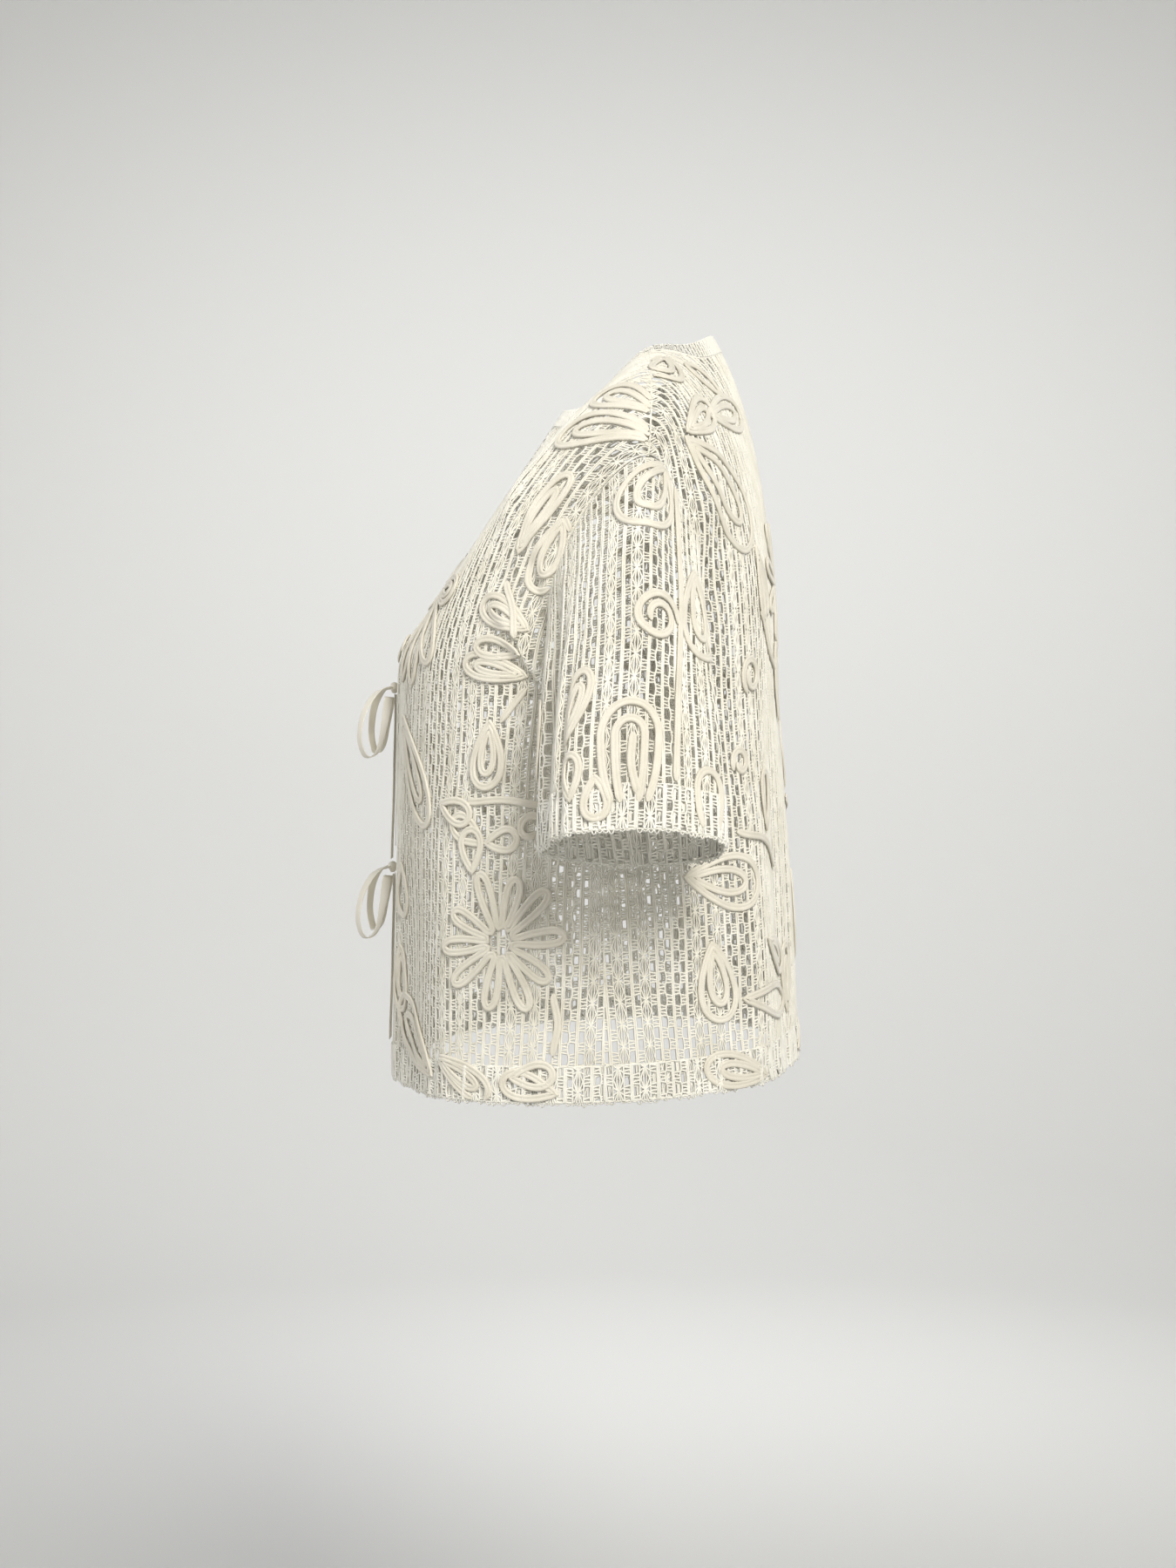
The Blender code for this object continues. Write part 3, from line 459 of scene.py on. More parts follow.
def bodyOutline(cloth, rear, lowT, centreS):
    seam = sideSeam(rear, np.linspace(hemFoot + bandTop, bodyCut["underarmZ"], 30))
    seam = [(s - seamGap / 2, t) for s, t in seam]
    hole = [tuple(point) for point in armhole(cloth, rear)[::-1]]
    hole[0] = seam[-1]
    shoulder = []
    for s in np.linspace(bodyCut["tipS"], bodyCut["neckS"] + neckInset, 30)[1:-1]:
        shoulder.append((s, float(cloth.top(s)) - seamGap / 2))
    return seam[:-1] + hole + shoulder + neckline(cloth, lowT, centreS, neckInset)[::-1]


def frontOutline():
    edge = bodyCut["edgeBand"] + seamGap
    side = bodyOutline(frontCloth, False, frontLowT, bodyCut["centreGap"])
    side = [point for point in side if point[0] > edge + 0.0005]
    neck = np.array(neckline(frontCloth, frontLowT, bodyCut["centreGap"], neckInset)).T
    return np.array(side + [(edge, float(np.interp(edge, *neck))), (edge, bandTop)])


def backOutline():
    # half of the back, from the centre line to the left side
    side = bodyOutline(backCloth, True, rearLowT, 0.0)
    return np.array(side + [(0.0, bandTop)])


def sleeveOutline():
    half = sleeveCut["half"] - seamGap / 2
    base = sleeveCut["cuffBand"] + seamGap
    cap = [
        (s, float(sleeveClothLeft.top(s)) - sleeveCut["armholeGap"])
        for s in np.linspace(half, -half, 80)
    ]
    return np.array([(half, base)] + cap + [(-half, base)])


def within(points, outline):
    s, t = points[..., 0], points[..., 1]
    inside = np.zeros(s.shape, bool)
    for (s0, t0), (s1, t1) in zip(outline, np.roll(outline, -1, axis=0)):
        if t0 == t1:
            continue
        crosses = (t0 > t) != (t1 > t)
        inside ^= crosses & (s < (s1 - s0) * (t - t0) / (t1 - t0) + s0)
    return inside


# Meshes

def newMesh(name, points, quads, uv=None, mirrored=False):
    points = np.asarray(points, float)
    quads = np.asarray(quads, int)
    if mirrored:
        points = points * [-1, 1, 1]
        quads = quads[:, ::-1]
        uv = None if uv is None else uv[:, ::-1]
    used, quads = np.unique(quads, return_inverse=True)
    quads = quads.reshape(-1, 4)
    points = points[used]
    mesh = bpy.data.meshes.new(name)
    mesh.vertices.add(len(points))
    mesh.vertices.foreach_set("co", points.ravel())
    mesh.loops.add(len(quads) * 4)
    mesh.loops.foreach_set("vertex_index", quads.ravel().astype(np.int32))
    mesh.polygons.add(len(quads))
    mesh.polygons.foreach_set("loop_start", np.arange(0, len(quads) * 4, 4, dtype=np.int32))
    mesh.polygons.foreach_set("use_smooth", np.ones(len(quads), bool))
    if uv is not None:
        layer = mesh.uv_layers.new(name="along")
        layer.data.foreach_set("uv", np.asarray(uv, float).ravel())
    mesh.update(calc_edges=True)
    mesh.validate()
    piece = bpy.data.objects.new(name, mesh)
    bpy.context.scene.collection.objects.link(piece)
    return piece


class Heap:
    # points and quads gathered for one mesh

    def __init__(self):
        self.points, self.quads, self.uvs, self.count = [], [], [], 0

    def add(self, points, quads, uvs=None):
        self.points.append(points)
        self.quads.append(quads + self.count)
        if uvs is not None:
            self.uvs.append(uvs)
        self.count += len(points)

    def piece(self, name, mirrored=False):
        uv = np.concatenate(self.uvs) if self.uvs else None
        return newMesh(name, np.concatenate(self.points), np.concatenate(self.quads), uv, mirrored)


def tubes(heap, centres, normals, radius, kept=None, sides=3, flatness=1.0):
    # yarns along rows of centres (rows, places, 3); kept says which stretches are there, or all are
    ahead = unit(np.gradient(centres, axis=1))
    across = unit(np.cross(ahead, normals))
    rows, places = centres.shape[:2]
    rings = []
    for k in range(sides):
        angle = math.pi / 2 + 2 * math.pi * k / sides
        rings.append(centres + radius * (math.cos(angle) * across + flatness * math.sin(angle) * normals))
    points = np.stack(rings, 2).reshape(-1, 3)
    row, place = np.nonzero(np.ones((rows, places - 1), bool) if kept is None else kept)
    base = (row * places + place) * sides
    quads = []
    for k in range(sides):
        after = (k + 1) % sides
        quads.append(np.stack([base + k, base + sides + k, base + sides + after, base + after], 1))
    heap.add(points, np.concatenate(quads))


def ringQuads(count, sides, along, turned):
    # faces between the rings of a strip and their UVs: metres along it, turns round it
    index = np.arange(count * sides).reshape(count, sides)
    nextSide = np.roll(index, -1, axis=1)
    girth = np.arange(sides + 1) / sides
    a, b = (np.broadcast_to(part[:, None], (count - 1, sides)) for part in (along[:-1], along[1:]))
    low, high = (np.broadcast_to(part, (count - 1, sides)) for part in (girth[:-1], girth[1:]))
    corners = [(index[:-1], a, low), (nextSide[:-1], a, high), (nextSide[1:], b, high), (index[1:], b, low)]
    if turned:
        corners = [corners[k] for k in (0, 3, 2, 1)]
    quads = np.stack([corner[0] for corner in corners], -1).reshape(-1, 4)
    uvs = np.stack([np.stack(corner[1:], -1) for corner in corners], 2).reshape(-1, 4, 2)
    return quads, uvs


def enrol(piece, node=None):
    # what the frame has to know of each piece
    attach(piece, "root")
    if node:
        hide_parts(node)
    return piece


# The lace: open columns of gaps and ladder blocks between firm wales, with a starred column here and there

laceNet = {
    "order": "xcwczcwczcwcxcwc",  # x starred column, c open column, w firm wale, z single yarn
    "widths": {"x": 0.0061, "c": 0.0035, "w": 0.0021, "z": 0.0006},  # metres
    "repeat": 0.0124,  # up the wale
    "waleYarn": 0.00090,  # radii
    "singleYarn": 0.00088,
    "rungYarn": 0.00076,
    "starYarn": 0.00062,
    "flatness": 0.55,  # the yarns lie flat, pressed by the knitting
    "sway": 0.00046,
    "rungs": (-0.0027, -0.0010, 0.0009, 0.0027),
    "slant": 0.00030,
    "pair": 0.00054,  # each yarn of a firm wale from its middle
    "tuck": 0.0001,  # how far a rung reaches into the wale beside it
    # each side of a star: nearest and farthest from the middle, lift off the lace
    "ovals": ((0.00040, 0.00215, 0.00015), (0.00020, 0.00075, 0.00005)),
    "ray": (0.0003, 0.0002, 0.0021),  # s where it starts, t where it starts and ends
    # the hand of the knitting, a little wandering across and up: metres, waves up and across, start
    "wander": (
        ((0.0010, 19, 9, 1.0), (0.0004, 71, -40, 0.0)),
        ((0.0016, 7, 24, 0.0), (0.0006, 0, 133, 2.0)),
    ),
}


def wandered(st):
    s, t = st[..., 0], st[..., 1]
    moved = st.copy()
    for axis, waves in enumerate(laceNet["wander"]):
        for size, up, across, start in waves:
            moved[..., axis] += size * np.sin(up * t + across * s + start)
    return moved


def trimmed(st, outline):
    # rows of yarn cut at the outline: the moved points, and which stretches are left
    st = st.copy()
    inside = within(st, outline)
    for near, far in ((slice(None, -1), slice(1, None)), (slice(1, None), slice(None, -1))):
        crossing = inside[:, near] & ~inside[:, far]
        held, free = st[:, near][crossing], st[:, far][crossing]
        for _ in range(6):
            middle = (held + free) / 2
            good = within(middle, outline)
            held[good], free[~good] = middle[good], middle[~good]
        st[:, far][crossing] = held
    return st, inside[:, :-1] | inside[:, 1:]


def netElements(net, low, high, origin):
    # kind, left, right and phase of each column of the lace between two distances
    order, widths = net["order"], net["widths"]
    total = sum(widths[kind] for kind in order)
    turn = math.floor((low - origin) / total) - 1
    found = []
    left = origin + turn * total
    phase = 0.0
    while left < high + total:
        for kind in order:
            right = left + widths[kind]
            if kind == "c":
                phase = 0.5 - phase
            found.append((kind, left, right, phase))
            left = right
    return [item for item in found if item[2] > low - 0.01 and item[1] < high + 0.01]


def layNet(heap, cloth, outline, net, out=0.0, origin=0.0, raised=0.0):
    repeat = net["repeat"]
    low, high = outline.min(axis=0), outline.max(axis=0)
    elements = netElements(net, low[0], high[0], origin)

    def lay(s, t, lift, radius):
        st = np.stack([s, t], -1)
        placed, kept = trimmed(wandered(st), outline)
        height = cloth.foldHeight(placed) + out + lift
        centres = cloth.plain(placed) + cloth.plainOut(placed) * height[..., None]
        tubes(heap, centres, cloth.facesOut(placed), radius, kept, flatness=net["flatness"])

    def middles(wanted):
        return [(left + right) / 2 for kind, left, right, _ in elements if kind == wanted]

    def rise(count, shift=0.0):
        step = repeat / count
        start = math.floor(low[1] / step) - 1
        return (np.arange(start, math.ceil(high[1] / step) + 3) + shift) * step + raised

    def spread(centres, t):
        return np.meshgrid(np.array(centres), t, indexing="ij")

    def singleS(centre, phase, t):
        wave = np.clip(1.5 * np.cos(2 * math.pi * ((t - raised) / repeat - phase)), -1, 1)
        return centre + net["sway"] * wave

    def rungEnd(column, edge, t):
        # on the bending single yarn beside the gap, or just inside the firm column
        kind, left, right, phase = column
        return singleS((left + right) / 2, phase, t) if kind == "z" else np.full(t.shape, edge)

    # firm wales: two yarns side by side
    for side in (-1, 1):
        centre, t = spread(middles("w"), rise(2))
        twist = 0.00010 * np.cos(2 * math.pi * t / repeat * 0.5 + side + 900 * centre)
        lay(centre + side * net["pair"], t, twist, net["waleYarn"])

    # single yarns that bend round the gaps on either side
    singles = middles("z")
    if singles:
        centre, t = spread(singles, rise(4, 0.5))
        phase = np.array([phase for kind, *_, phase in elements if kind == "z"])[:, None]
        lay(singleS(centre, phase, t), t, 0.0, net["singleYarn"])

    # starred columns: ovals in diamonds, with short rays at each star
    stars = middles("x")
    if stars:
        half = net["widths"]["x"] / 2
        centre, t = spread(stars, rise(4))
        wave = np.abs(((t - raised) / repeat) % 1 - 0.5) * 2
        for side in (-1, 1):
            for near, far, lift in net["ovals"]:
                lay(centre + side * (near + far * wave), t, lift, net["starYarn"])
            edge, at = spread(stars, rise(2))
            lay(edge + side * half, at, 0.0, net["starYarn"] * 1.1)
        turns = np.arange(math.floor(low[1] / repeat) - 1, math.ceil(high[1] / repeat) + 2)
        centre, turn = (item.ravel() for item in spread(stars, turns))
        middle = (turn + 0.5) * repeat + raised
        startS, startT, endT = net["ray"]
        for side in (-1, 1):
            for slant in (-1, 1):
                s = np.stack([centre + side * startS, centre + side * half], 1)
                t = np.stack([middle + slant * startT, middle + slant * endT], 1)
                lay(s, t, 0.0001, net["starYarn"])

    # ladder blocks of slanting rungs
    turns = np.arange(math.floor(low[1] / repeat) - 2, math.ceil(high[1] / repeat) + 2)
    rungs = np.array(net["rungs"])
    lefts, rights, leftT, rightT = [], [], [], []
    for number, (kind, left, right, phase) in enumerate(elements):
        if kind != "c":
            continue
        before = elements[number - 1] if number else ("w", left, left, 0.0)
        after = elements[number + 1] if number + 1 < len(elements) else ("w", right, right, 0.0)
        turn, rung = (item.ravel() for item in np.meshgrid(turns, np.arange(len(rungs)), indexing="ij"))
        middle = (turn + phase + 0.5) * repeat + rungs[rung] + raised
        slant = net["slant"] * np.where((rung + number) % 2 == 0, 1, -1)
        a, b = middle - slant, middle + slant
        lefts.append(rungEnd(before, left - net["tuck"], a))
        rights.append(rungEnd(after, right + net["tuck"], b))
        leftT.append(a)
        rightT.append(b)
    if not lefts:
        return
    s = np.stack([np.concatenate(lefts), np.concatenate(rights)], 1)
    t = np.stack([np.concatenate(leftT), np.concatenate(rightT)], 1)
    lay(s, t, -0.0001, net["rungYarn"])


def layEdge(heap, cloth, line, radius):
    # a yarn along the cut edge, which the net is looped on
    st = resampled(np.array(line), 0.0028)[None]
    tubes(heap, cloth.points(st), cloth.facesOut(st), radius, sides=4)


def lacePiece(name, node, cloth, outline, origin, mirrored):
    heap = Heap()
    layNet(heap, cloth, outline, laceNet, 0.0, origin)
    if node == "back":
        # the two halves of the back are one piece, so there is no edge at its middle
        rim = np.concatenate([outline[-1:], outline[:-1]])
    else:
        rim = np.concatenate([outline, outline[:1]])
    layEdge(heap, cloth, rim, 0.00034)
    piece = enrol(heap.piece(name, mirrored), node)
    return piece


lace, bands = [], []
frontShape, backShape, sleeveShape = frontOutline(), backOutline(), sleeveOutline()
for side, mirrored in bothSides:
    for panel, node, cloth, outline, firstWale in (
        ("front", "front_" + side, frontCloth, frontShape, 0.0245),
        ("back", "back", backCloth, backShape, -0.0008),
        ("sleeve", "sleeve_" + side, sleeveClothLeft, sleeveShape, -0.0070),
    ):
        name = "lace_" + panel + "_" + side
        lace.append(lacePiece(name, node, cloth, outline, firstWale, mirrored))
print("lace panels:", [(piece.name, len(piece.data.polygons) * 2) for piece in lace])


# The doubled bands: the same lace folded up behind itself, its two layers out of step

doubling = {
    "apart": 0.0005,  # each layer from the middle of the band
    "shift": 0.0213,
    "raised": 0.0047,
    "edgeYarn": 0.0006,
    "pucker": 0.0092,  # the fold is gathered a little, about this often
    "puckerDepth": 0.0011,
    "picotYarn": 0.0006,
    "picotSpacing": 0.0031,
    "picotDrop": (0.0015, 0.0007, 0.0006),  # mean, and how far it varies quickly and slowly along the edge
    "firstWale": 0.0031,  # where the lace of each band starts its repeat
    # the narrow neck edge is all short ribs
    "edgeNet": {
        **laceNet, "order": "wc", "widths": {**laceNet["widths"], "c": 0.0012}, "repeat": 0.0062,
        "rungs": (0.0,), "waleYarn": 0.00068,
    },
    # the band is knitted closer than the panels
    "net": {
        **laceNet, "waleYarn": 0.00102, "singleYarn": 0.00094, "rungYarn": 0.00086, "starYarn": 0.00074,
    },
}


def layPicots(heap, cloth, start, end, t):
    # the yarns that turn over at the folded edge, some hanging lower
    spacing = doubling["picotSpacing"]
    count = round(abs(end - start) / spacing)
    number = np.arange(count)
    centre = start + (number + 0.5) * (end - start) / count
    mean, quick, slow = doubling["picotDrop"]
    drop = mean + quick * np.sin(number * 2.4) + slow * np.sin(number * 0.71)
    turn = np.linspace(math.pi, 2 * math.pi, 5)
    s = centre[:, None] + spacing * 0.46 * np.cos(turn)
    flat = np.stack([s, np.full(s.shape, t)], -1)
    down = unit(cloth.plain(flat) - cloth.plain(flat + [0, 0.004]))
    centres = cloth.points(flat) - down * (drop[:, None] * np.sin(turn))[..., None]
    tubes(heap, centres, cloth.facesOut(flat), doubling["picotYarn"])


def puckered(cloth, start, end, high):
    # the same cloth with short creases across the band, uneven in place and depth
    number = np.arange(math.ceil(abs(end - start) / doubling["pucker"]))
    s = min(start, end) + doubling["pucker"] * (number + 0.5) + 0.0026 * np.sin(2.3 * number)
    depth = doubling["puckerDepth"] * (0.65 + 0.35 * np.sin(1.7 * number)) * np.where(number % 2, 1, -1)
    creases = tuple((a, -0.012, a + 0.0015, high + 0.012, 0.0030, d) for a, d in zip(s, depth))
    gathered = copy.copy(cloth)
    gathered.folds = cloth.folds + creases
    return gathered


def bandPiece(name, node, cloth, low, high, starts, ends, picots=True, mirrored=False, net=doubling["net"]):
    if picots:
        cloth = puckered(cloth, starts[0], ends[0], high)
    outline = np.array([(starts[0], low), (ends[0], low), (ends[1], high), (starts[1], high)])
    heap = Heap()
    apart, first = doubling["apart"], doubling["firstWale"]
    layNet(heap, cloth, outline, net, apart, first)
    layNet(heap, cloth, outline, net, -apart, first + doubling["shift"], doubling["raised"])
    layers = heap.piece(name, mirrored)
    heap = Heap()
    layEdge(heap, cloth, np.concatenate([outline, outline[:1]]), doubling["edgeYarn"])
    if picots:
        layPicots(heap, cloth, starts[0], ends[0], low)
    edge = heap.piece(name + "_fold", mirrored)
    bands.extend(enrol(piece, node) for piece in (layers, edge))


hemLevels = (hemFoot, hemFoot + bodyCut["hemBand"])
frontSides = [sideS(z, False) - seamGap / 2 for z in hemLevels]
backSides = [sideS(z, True) - seamGap / 2 for z in hemLevels]
gap = bodyCut["centreGap"]
half = sleeveCut["half"] - seamGap / 2
bandPiece(
    "band_hem_back", "hem_back", backCloth, 0.0, bodyCut["hemBand"], [-s for s in backSides], backSides
)
for side, mirrored in bothSides:
    bandPiece(
        "band_hem_front_" + side, "hem_front_" + side, frontCloth,
        0.0, bodyCut["hemBand"], (gap, gap), frontSides, True, mirrored,
    )
    bandPiece(
        "band_cuff_" + side, "cuff_" + side, sleeveClothLeft,
        0.0, sleeveCut["cuffBand"], (-half, -half), (half, half), True, mirrored,
    )


def stripCloth(rows, outward):
    # a narrow band laid out flat: s along it, t across it
    rows = np.array(rows)
    along = lengthsAlong(rows[:, 1])
    count = max(round(along[-1] / 0.003), 2)
    at = np.linspace(0, along[-1], count + 1)
    even = np.stack([placesOn(rows[:, k], along, at) for k in range(rows.shape[1])], 1)
    width = lengthsAlong(even[count // 2])[-1]
    up = width / (rows.shape[1] - 1)
    return Cloth(even, 0.0, along[-1] / count, [width] * (count + 1), outward, (), up=up), along[-1], width


def crossRows(cloth, lowT, centreS):
    # three points across the neck band at each place along it, from the centre line to the shoulder
    inner, outer = (np.array(neckline(cloth, lowT, centreS, inset)) for inset in (0.0, bodyCut["neckBand"]))
    return [cloth.points(across) for across in np.stack([inner, (inner + outer) / 2, outer], 1)]


def neckRows():
    # round the neck by the left, the back and the right
    fore = crossRows(frontCloth, frontLowT, gap)
    aft = crossRows(backCloth, rearLowT, 0.0)[::-1]
    return fore + aft[1:] + [row * [-1, 1, 1] for row in aft[-2::-1] + fore[-2::-1]]


def edgeRows():
    curve = np.array(neckline(frontCloth, frontLowT, gap, neckInset)).T
    across = np.linspace(gap, bodyCut["edgeBand"], 3)
    tops = np.interp(across, *curve)
    rows = []
    for part in np.linspace(0, 1, 60):
        rows.append(frontCloth.points(np.stack([across, bandTop + (tops - bandTop) * part], 1)))
    return rows


def stripPiece(name, node, rows, outward, mirrored=False, net=doubling["net"]):
    cloth, length, width = stripCloth(rows, outward)
    bandPiece(name, node, cloth, 0.0, width, (0.0, 0.0), (length, length), False, mirrored, net)


stripPiece("band_neck", "neck_edge", neckRows(), -1, net=doubling["edgeNet"])
for side, mirrored in bothSides:
    stripPiece("band_front_edge_" + side, "front_edge_" + side, edgeRows(), -1, mirrored)
print("bands:", sum(len(piece.data.polygons) for piece in bands) * 2, "triangles")


# Sewn braid, laid out on the flat panels: form, s and t in mm, heading in degrees, size, shape

frontBraid = (
    ("flower", 204, 91, 5, 27, 10),
    ("leaf", 84, 224, -50, 84, 0.30),
    ("leaf", 193, 217, 268, 37, 0.55),
    ("vine", 215, 236, 231, 24, 0),
    ("leaf", 214, 243, 166, 44, 0.30),
    ("leaf", 210, 256, 168, 32, 0.32),
    ("leaf", 212, 270, 152, 40, 0.36),
    ("fan", 96, 302, 278, 58, 3),
    ("leaf", 190, 318, 86, 50, 0.28),
    ("leaf", 208, 338, 278, 46, 0.50),
    ("leaf", 214, 408, 186, 54, 0.50),
    ("leaf", 156, 171, -18, 26, 0.50),
    ("vine", 178, 172, -4, 54, 8),
    ("curl", 231, 152, 90, 9, 0.9),
    ("leaf", 184, 132, 95, 24, 0.60),
    ("leaf", 84, 133, 275, 31, 0.62),
    ("leaf", 80, 82, 275, 38, 0.55),
    ("leaf", 152, 12, 153, 80, 0.33),
    ("leaf", 160, 23, -26, 44, 0.34),
    ("leaf", 242, 5, 168, 34, 0.42),
    ("vine", 238, 62, 272, 36, 14),
    ("leaf", 196, 430, 168, 44, 0.50),
    ("leaf", 98, 306, -10, 38, 0.45),
    ("vine", 189, 300, -63, 40, 10),
    ("leaf", 190, 148, 148, 26, 0.50),
    ("leaf", 194, 148, 8, 20, 0.60),
    ("leaf", 214, 14, 4, 26, 0.50),
    ("leaf", 52, 344, 258, 46, 0.40),
    ("leaf", 60, 338, 208, 34, 0.46),
    ("curl", 50, 262, 82, 10, 1.2),
    ("leaf", 108, 386, 236, 40, 0.40),
)
backBraid = (
    ("leaf", 178, 376, 223, 82, 0.56),
    ("leaf", 174, 381, 156, 54, 0.34),
    ("flower", 48, 298, 15, 27, 9),
    ("leaf", 110, 316, 250, 40, 0.36),
    ("vine", 114, 278, 219, 60, 20),
    ("curl", 138, 226, 30, 12, 1.3),
    ("curl", 162, 180, 60, 9, 1.1),
    ("leaf", 48, 163, 186, 114, 0.13),
    ("vine", 166, 148, 200, 72, -14),
    ("leaf", 206, 124, 188, 58, 0.52),
    ("leaf", 190, 84, 262, 44, 0.60),
    ("leaf", 136, 82, 202, 50, 0.34),
    ("leaf", 166, 50, 187, 76, 0.24),
    ("leaf", 30, 116, 262, 56, 0.42),
    ("vine", 30, 226, 268, 60, 26),
    ("leaf", 150, 4, 12, 50, 0.36),
    ("leaf", 52, 6, 168, 50, 0.38),
    ("leaf", 124, 148, 95, 34, 0.45),
    ("leaf", 84, 415, 45, 30, 0.55),
    ("leaf", 112, 448, -28, 52, 0.44),
    ("leaf", 111, 310, 265, 36, 0.24),
    ("leaf", 132, 397, 172, 74, 0.30),
    ("leaf", 84, 34, 96, 40, 0.40),
    ("leaf", 62, 214, 82, 46, 0.36),
    ("leaf", 20, 196, 250, 34, 0.45),
)
sleeveBraid = (
    ("leaf", 14, 228, 250, 58, 0.62),
    ("vine", 25, 222, 269, 196, 3),
    ("curl", 24, 111, 90, 15, 1.6),
    ("leaf", 42, 160, 278, 56, 0.62),
    ("arch", -4, 14, 91, 52, 0.62),
    ("vine", 0, 18, 95, 34, 10),
    ("arch", 48, 4, 89, 31, 0.66),
    ("leaf", -23, 28, 272, 22, 0.60),
    ("leaf", -44, 50, 72, 40, 0.36),
    ("leaf", -38, 18, 92, 24, 0.50),
    ("leaf", -92, 40, 95, 44, 0.40),
    ("curl", 108, 46, 100, 12, 1.2),
    ("leaf", -128, 10, 80, 38, 0.42),
)
braidCut = {
    "width": 0.0046,
    "height": 0.0013,
    "step": 0.0020,  # between the rings along the braid
    "seat": 0.0005,  # its underside above the middle of the lace
    "layer": 0.00025,  # where braids cross, one lies a little higher
    "doubleFrom": 36,  # loops longer than this, in mm, are laid twice, one in the other
}


def spun(line, degrees):
    angle = math.radians(degrees)
    turn = np.array([[math.cos(angle), math.sin(angle)], [-math.sin(angle), math.cos(angle)]])
    return line @ turn


def leafForm(length, plumpness):
    turn = np.linspace(0, 2 * math.pi, 60)
    x = length * (1 - np.cos(turn)) / 2
    y = length * plumpness * 0.65 * np.sin(turn) * np.sin(turn / 2)
    return np.stack([x, y], 1)


def roundedOff(points, closed, times=3):
    # corners cut off again and again until the line runs smoothly
    line = np.array(points, float)
    for _ in range(times):
        ahead = np.roll(line, -1, axis=0) if closed else line[1:]
        start = line if closed else line[:-1]
        cut = np.stack([0.75 * start + 0.25 * ahead, 0.25 * start + 0.75 * ahead], 1).reshape(-1, 2)
        line = cut if closed else np.concatenate([line[:1], cut, line[-1:]])
    return np.concatenate([line, line[:1]]) if closed else line


def flowerForm(radius, petals):
    # one braid that runs out and back round every petal, open in the middle
    reach = radius * 1.42
    half = 0.66 * math.pi * reach / petals * 0.5
    petal = [
        # out along the petal, aside
        (0.22, -0.30), (0.44, -0.72), (0.70, -1.00), (0.92, -0.98), (1.03, -0.35),
        (1.03, 0.35), (0.92, 0.98), (0.70, 1.00), (0.44, 0.72), (0.22, 0.30),
    ]
    points = []
    for k in range(int(petals)):
        long = reach * (1 + 0.06 * math.sin(2.6 * k))
        shape = np.array([(out * long, aside * half) for out, aside in petal])
        points.append(spun(shape, 360 / petals * k + 4 * math.sin(1.9 * k)))
    return [roundedOff(np.concatenate(points), True)]


def archForm(length, shape):
    # a horseshoe with a smaller one inside it, open at the foot
    half = length * shape * 0.5
    turn = np.linspace(-math.pi / 2, math.pi / 2, 15)
    lines = []
    for inset in (0.0, 8.0):
        wide = half - inset
        if wide < 3:
            continue
        crown = [(length - half + wide * 1.15 * math.cos(a), wide * math.sin(a)) for a in turn]
        left = [(0, -0.60 * wide), (0.45 * (length - half), -0.92 * wide)]
        right = [(x, -y) for x, y in left[::-1]]
        lines.append(roundedOff(left + crown + right, False, 2))
    return lines


def leafLines(length, plumpness):
    # a large plump leaf has a smaller one inside it
    lines = [leafForm(length, plumpness)]
    if length > braidCut["doubleFrom"] and plumpness > 0.25:
        lines.append(leafForm(length * 0.72, plumpness * 0.62) + [length * 0.07, 0])
    return lines


def fanForm(length, petals):
    return [spun(leafForm(length, 0.30), (k - (petals - 1) / 2) * 30) for k in range(int(petals))]


def curlForm(radius, turns):
    turn = np.linspace(0, 2 * math.pi * turns, 70)
    shrink = 1 - 0.62 * turn / turn[-1]
    x = radius * shrink * np.sin(turn) + radius * 0.4
    y = radius * (1 - shrink * np.cos(turn))
    return [np.stack([x, y], 1)]


def vineForm(length, bend):
    part = np.linspace(0, 1, 60)
    heading = np.radians(bend) * np.sin(2 * math.pi * part)
    steps = np.stack([np.cos(heading[:-1]), np.sin(heading[:-1])], 1) * (length / 59)
    return [np.concatenate([[[0, 0]], np.cumsum(steps, axis=0)])]


braidForms = {
    "flower": flowerForm, "leaf": leafLines, "fan": fanForm,
    "arch": archForm, "curl": curlForm, "vine": vineForm,
}


def layBraid(heap, cloth, line, lift):
    # a flat braid of two plaited cords with a groove between them
    line = resampled(line, braidCut["step"])
    if len(line) < 3:
        return
    wide, high = braidCut["width"] / 2, braidCut["height"]
    profile = np.array([
        # across, up
        (-1.00, 0.05), (-0.86, 0.72), (-0.46, 0.98), (-0.08, 0.52),
        (0.08, 0.52), (0.46, 0.98), (0.86, 0.72), (1.00, 0.05),
    ]) * [wide, high]
    centres = cloth.points(line, braidCut["seat"] + lift)
    closed = np.linalg.norm(line[0] - line[-1]) < 1e-5
    normals = cloth.facesOut(line)
    ahead = np.gradient(centres, axis=0)
    if closed:
        ahead[0] = ahead[-1] = centres[1] - centres[-2]
    ahead = unit(ahead)
    across = unit(np.cross(ahead, normals))
    size = np.ones(len(line))
    if not closed:
        size[[0, -1]], size[[1, -2]] = 0.35, 0.85  # the ends are tucked under
    shape = profile[None] * size[:, None, None]
    rings = centres[:, None] + across[:, None] * shape[..., :1] + normals[:, None] * shape[..., 1:]
    heap.add(rings.reshape(-1, 3), *ringQuads(*rings.shape[:2], lengthsAlong(line), False))


def cutTo(line, shape):
    # the stretches of a line that lie inside the outline
    inside = within(line, shape)
    runs = np.split(np.arange(len(line)), np.nonzero(np.diff(inside))[0] + 1)
    return [line[run] for run in runs if inside[run[0]] and len(run) > 4]


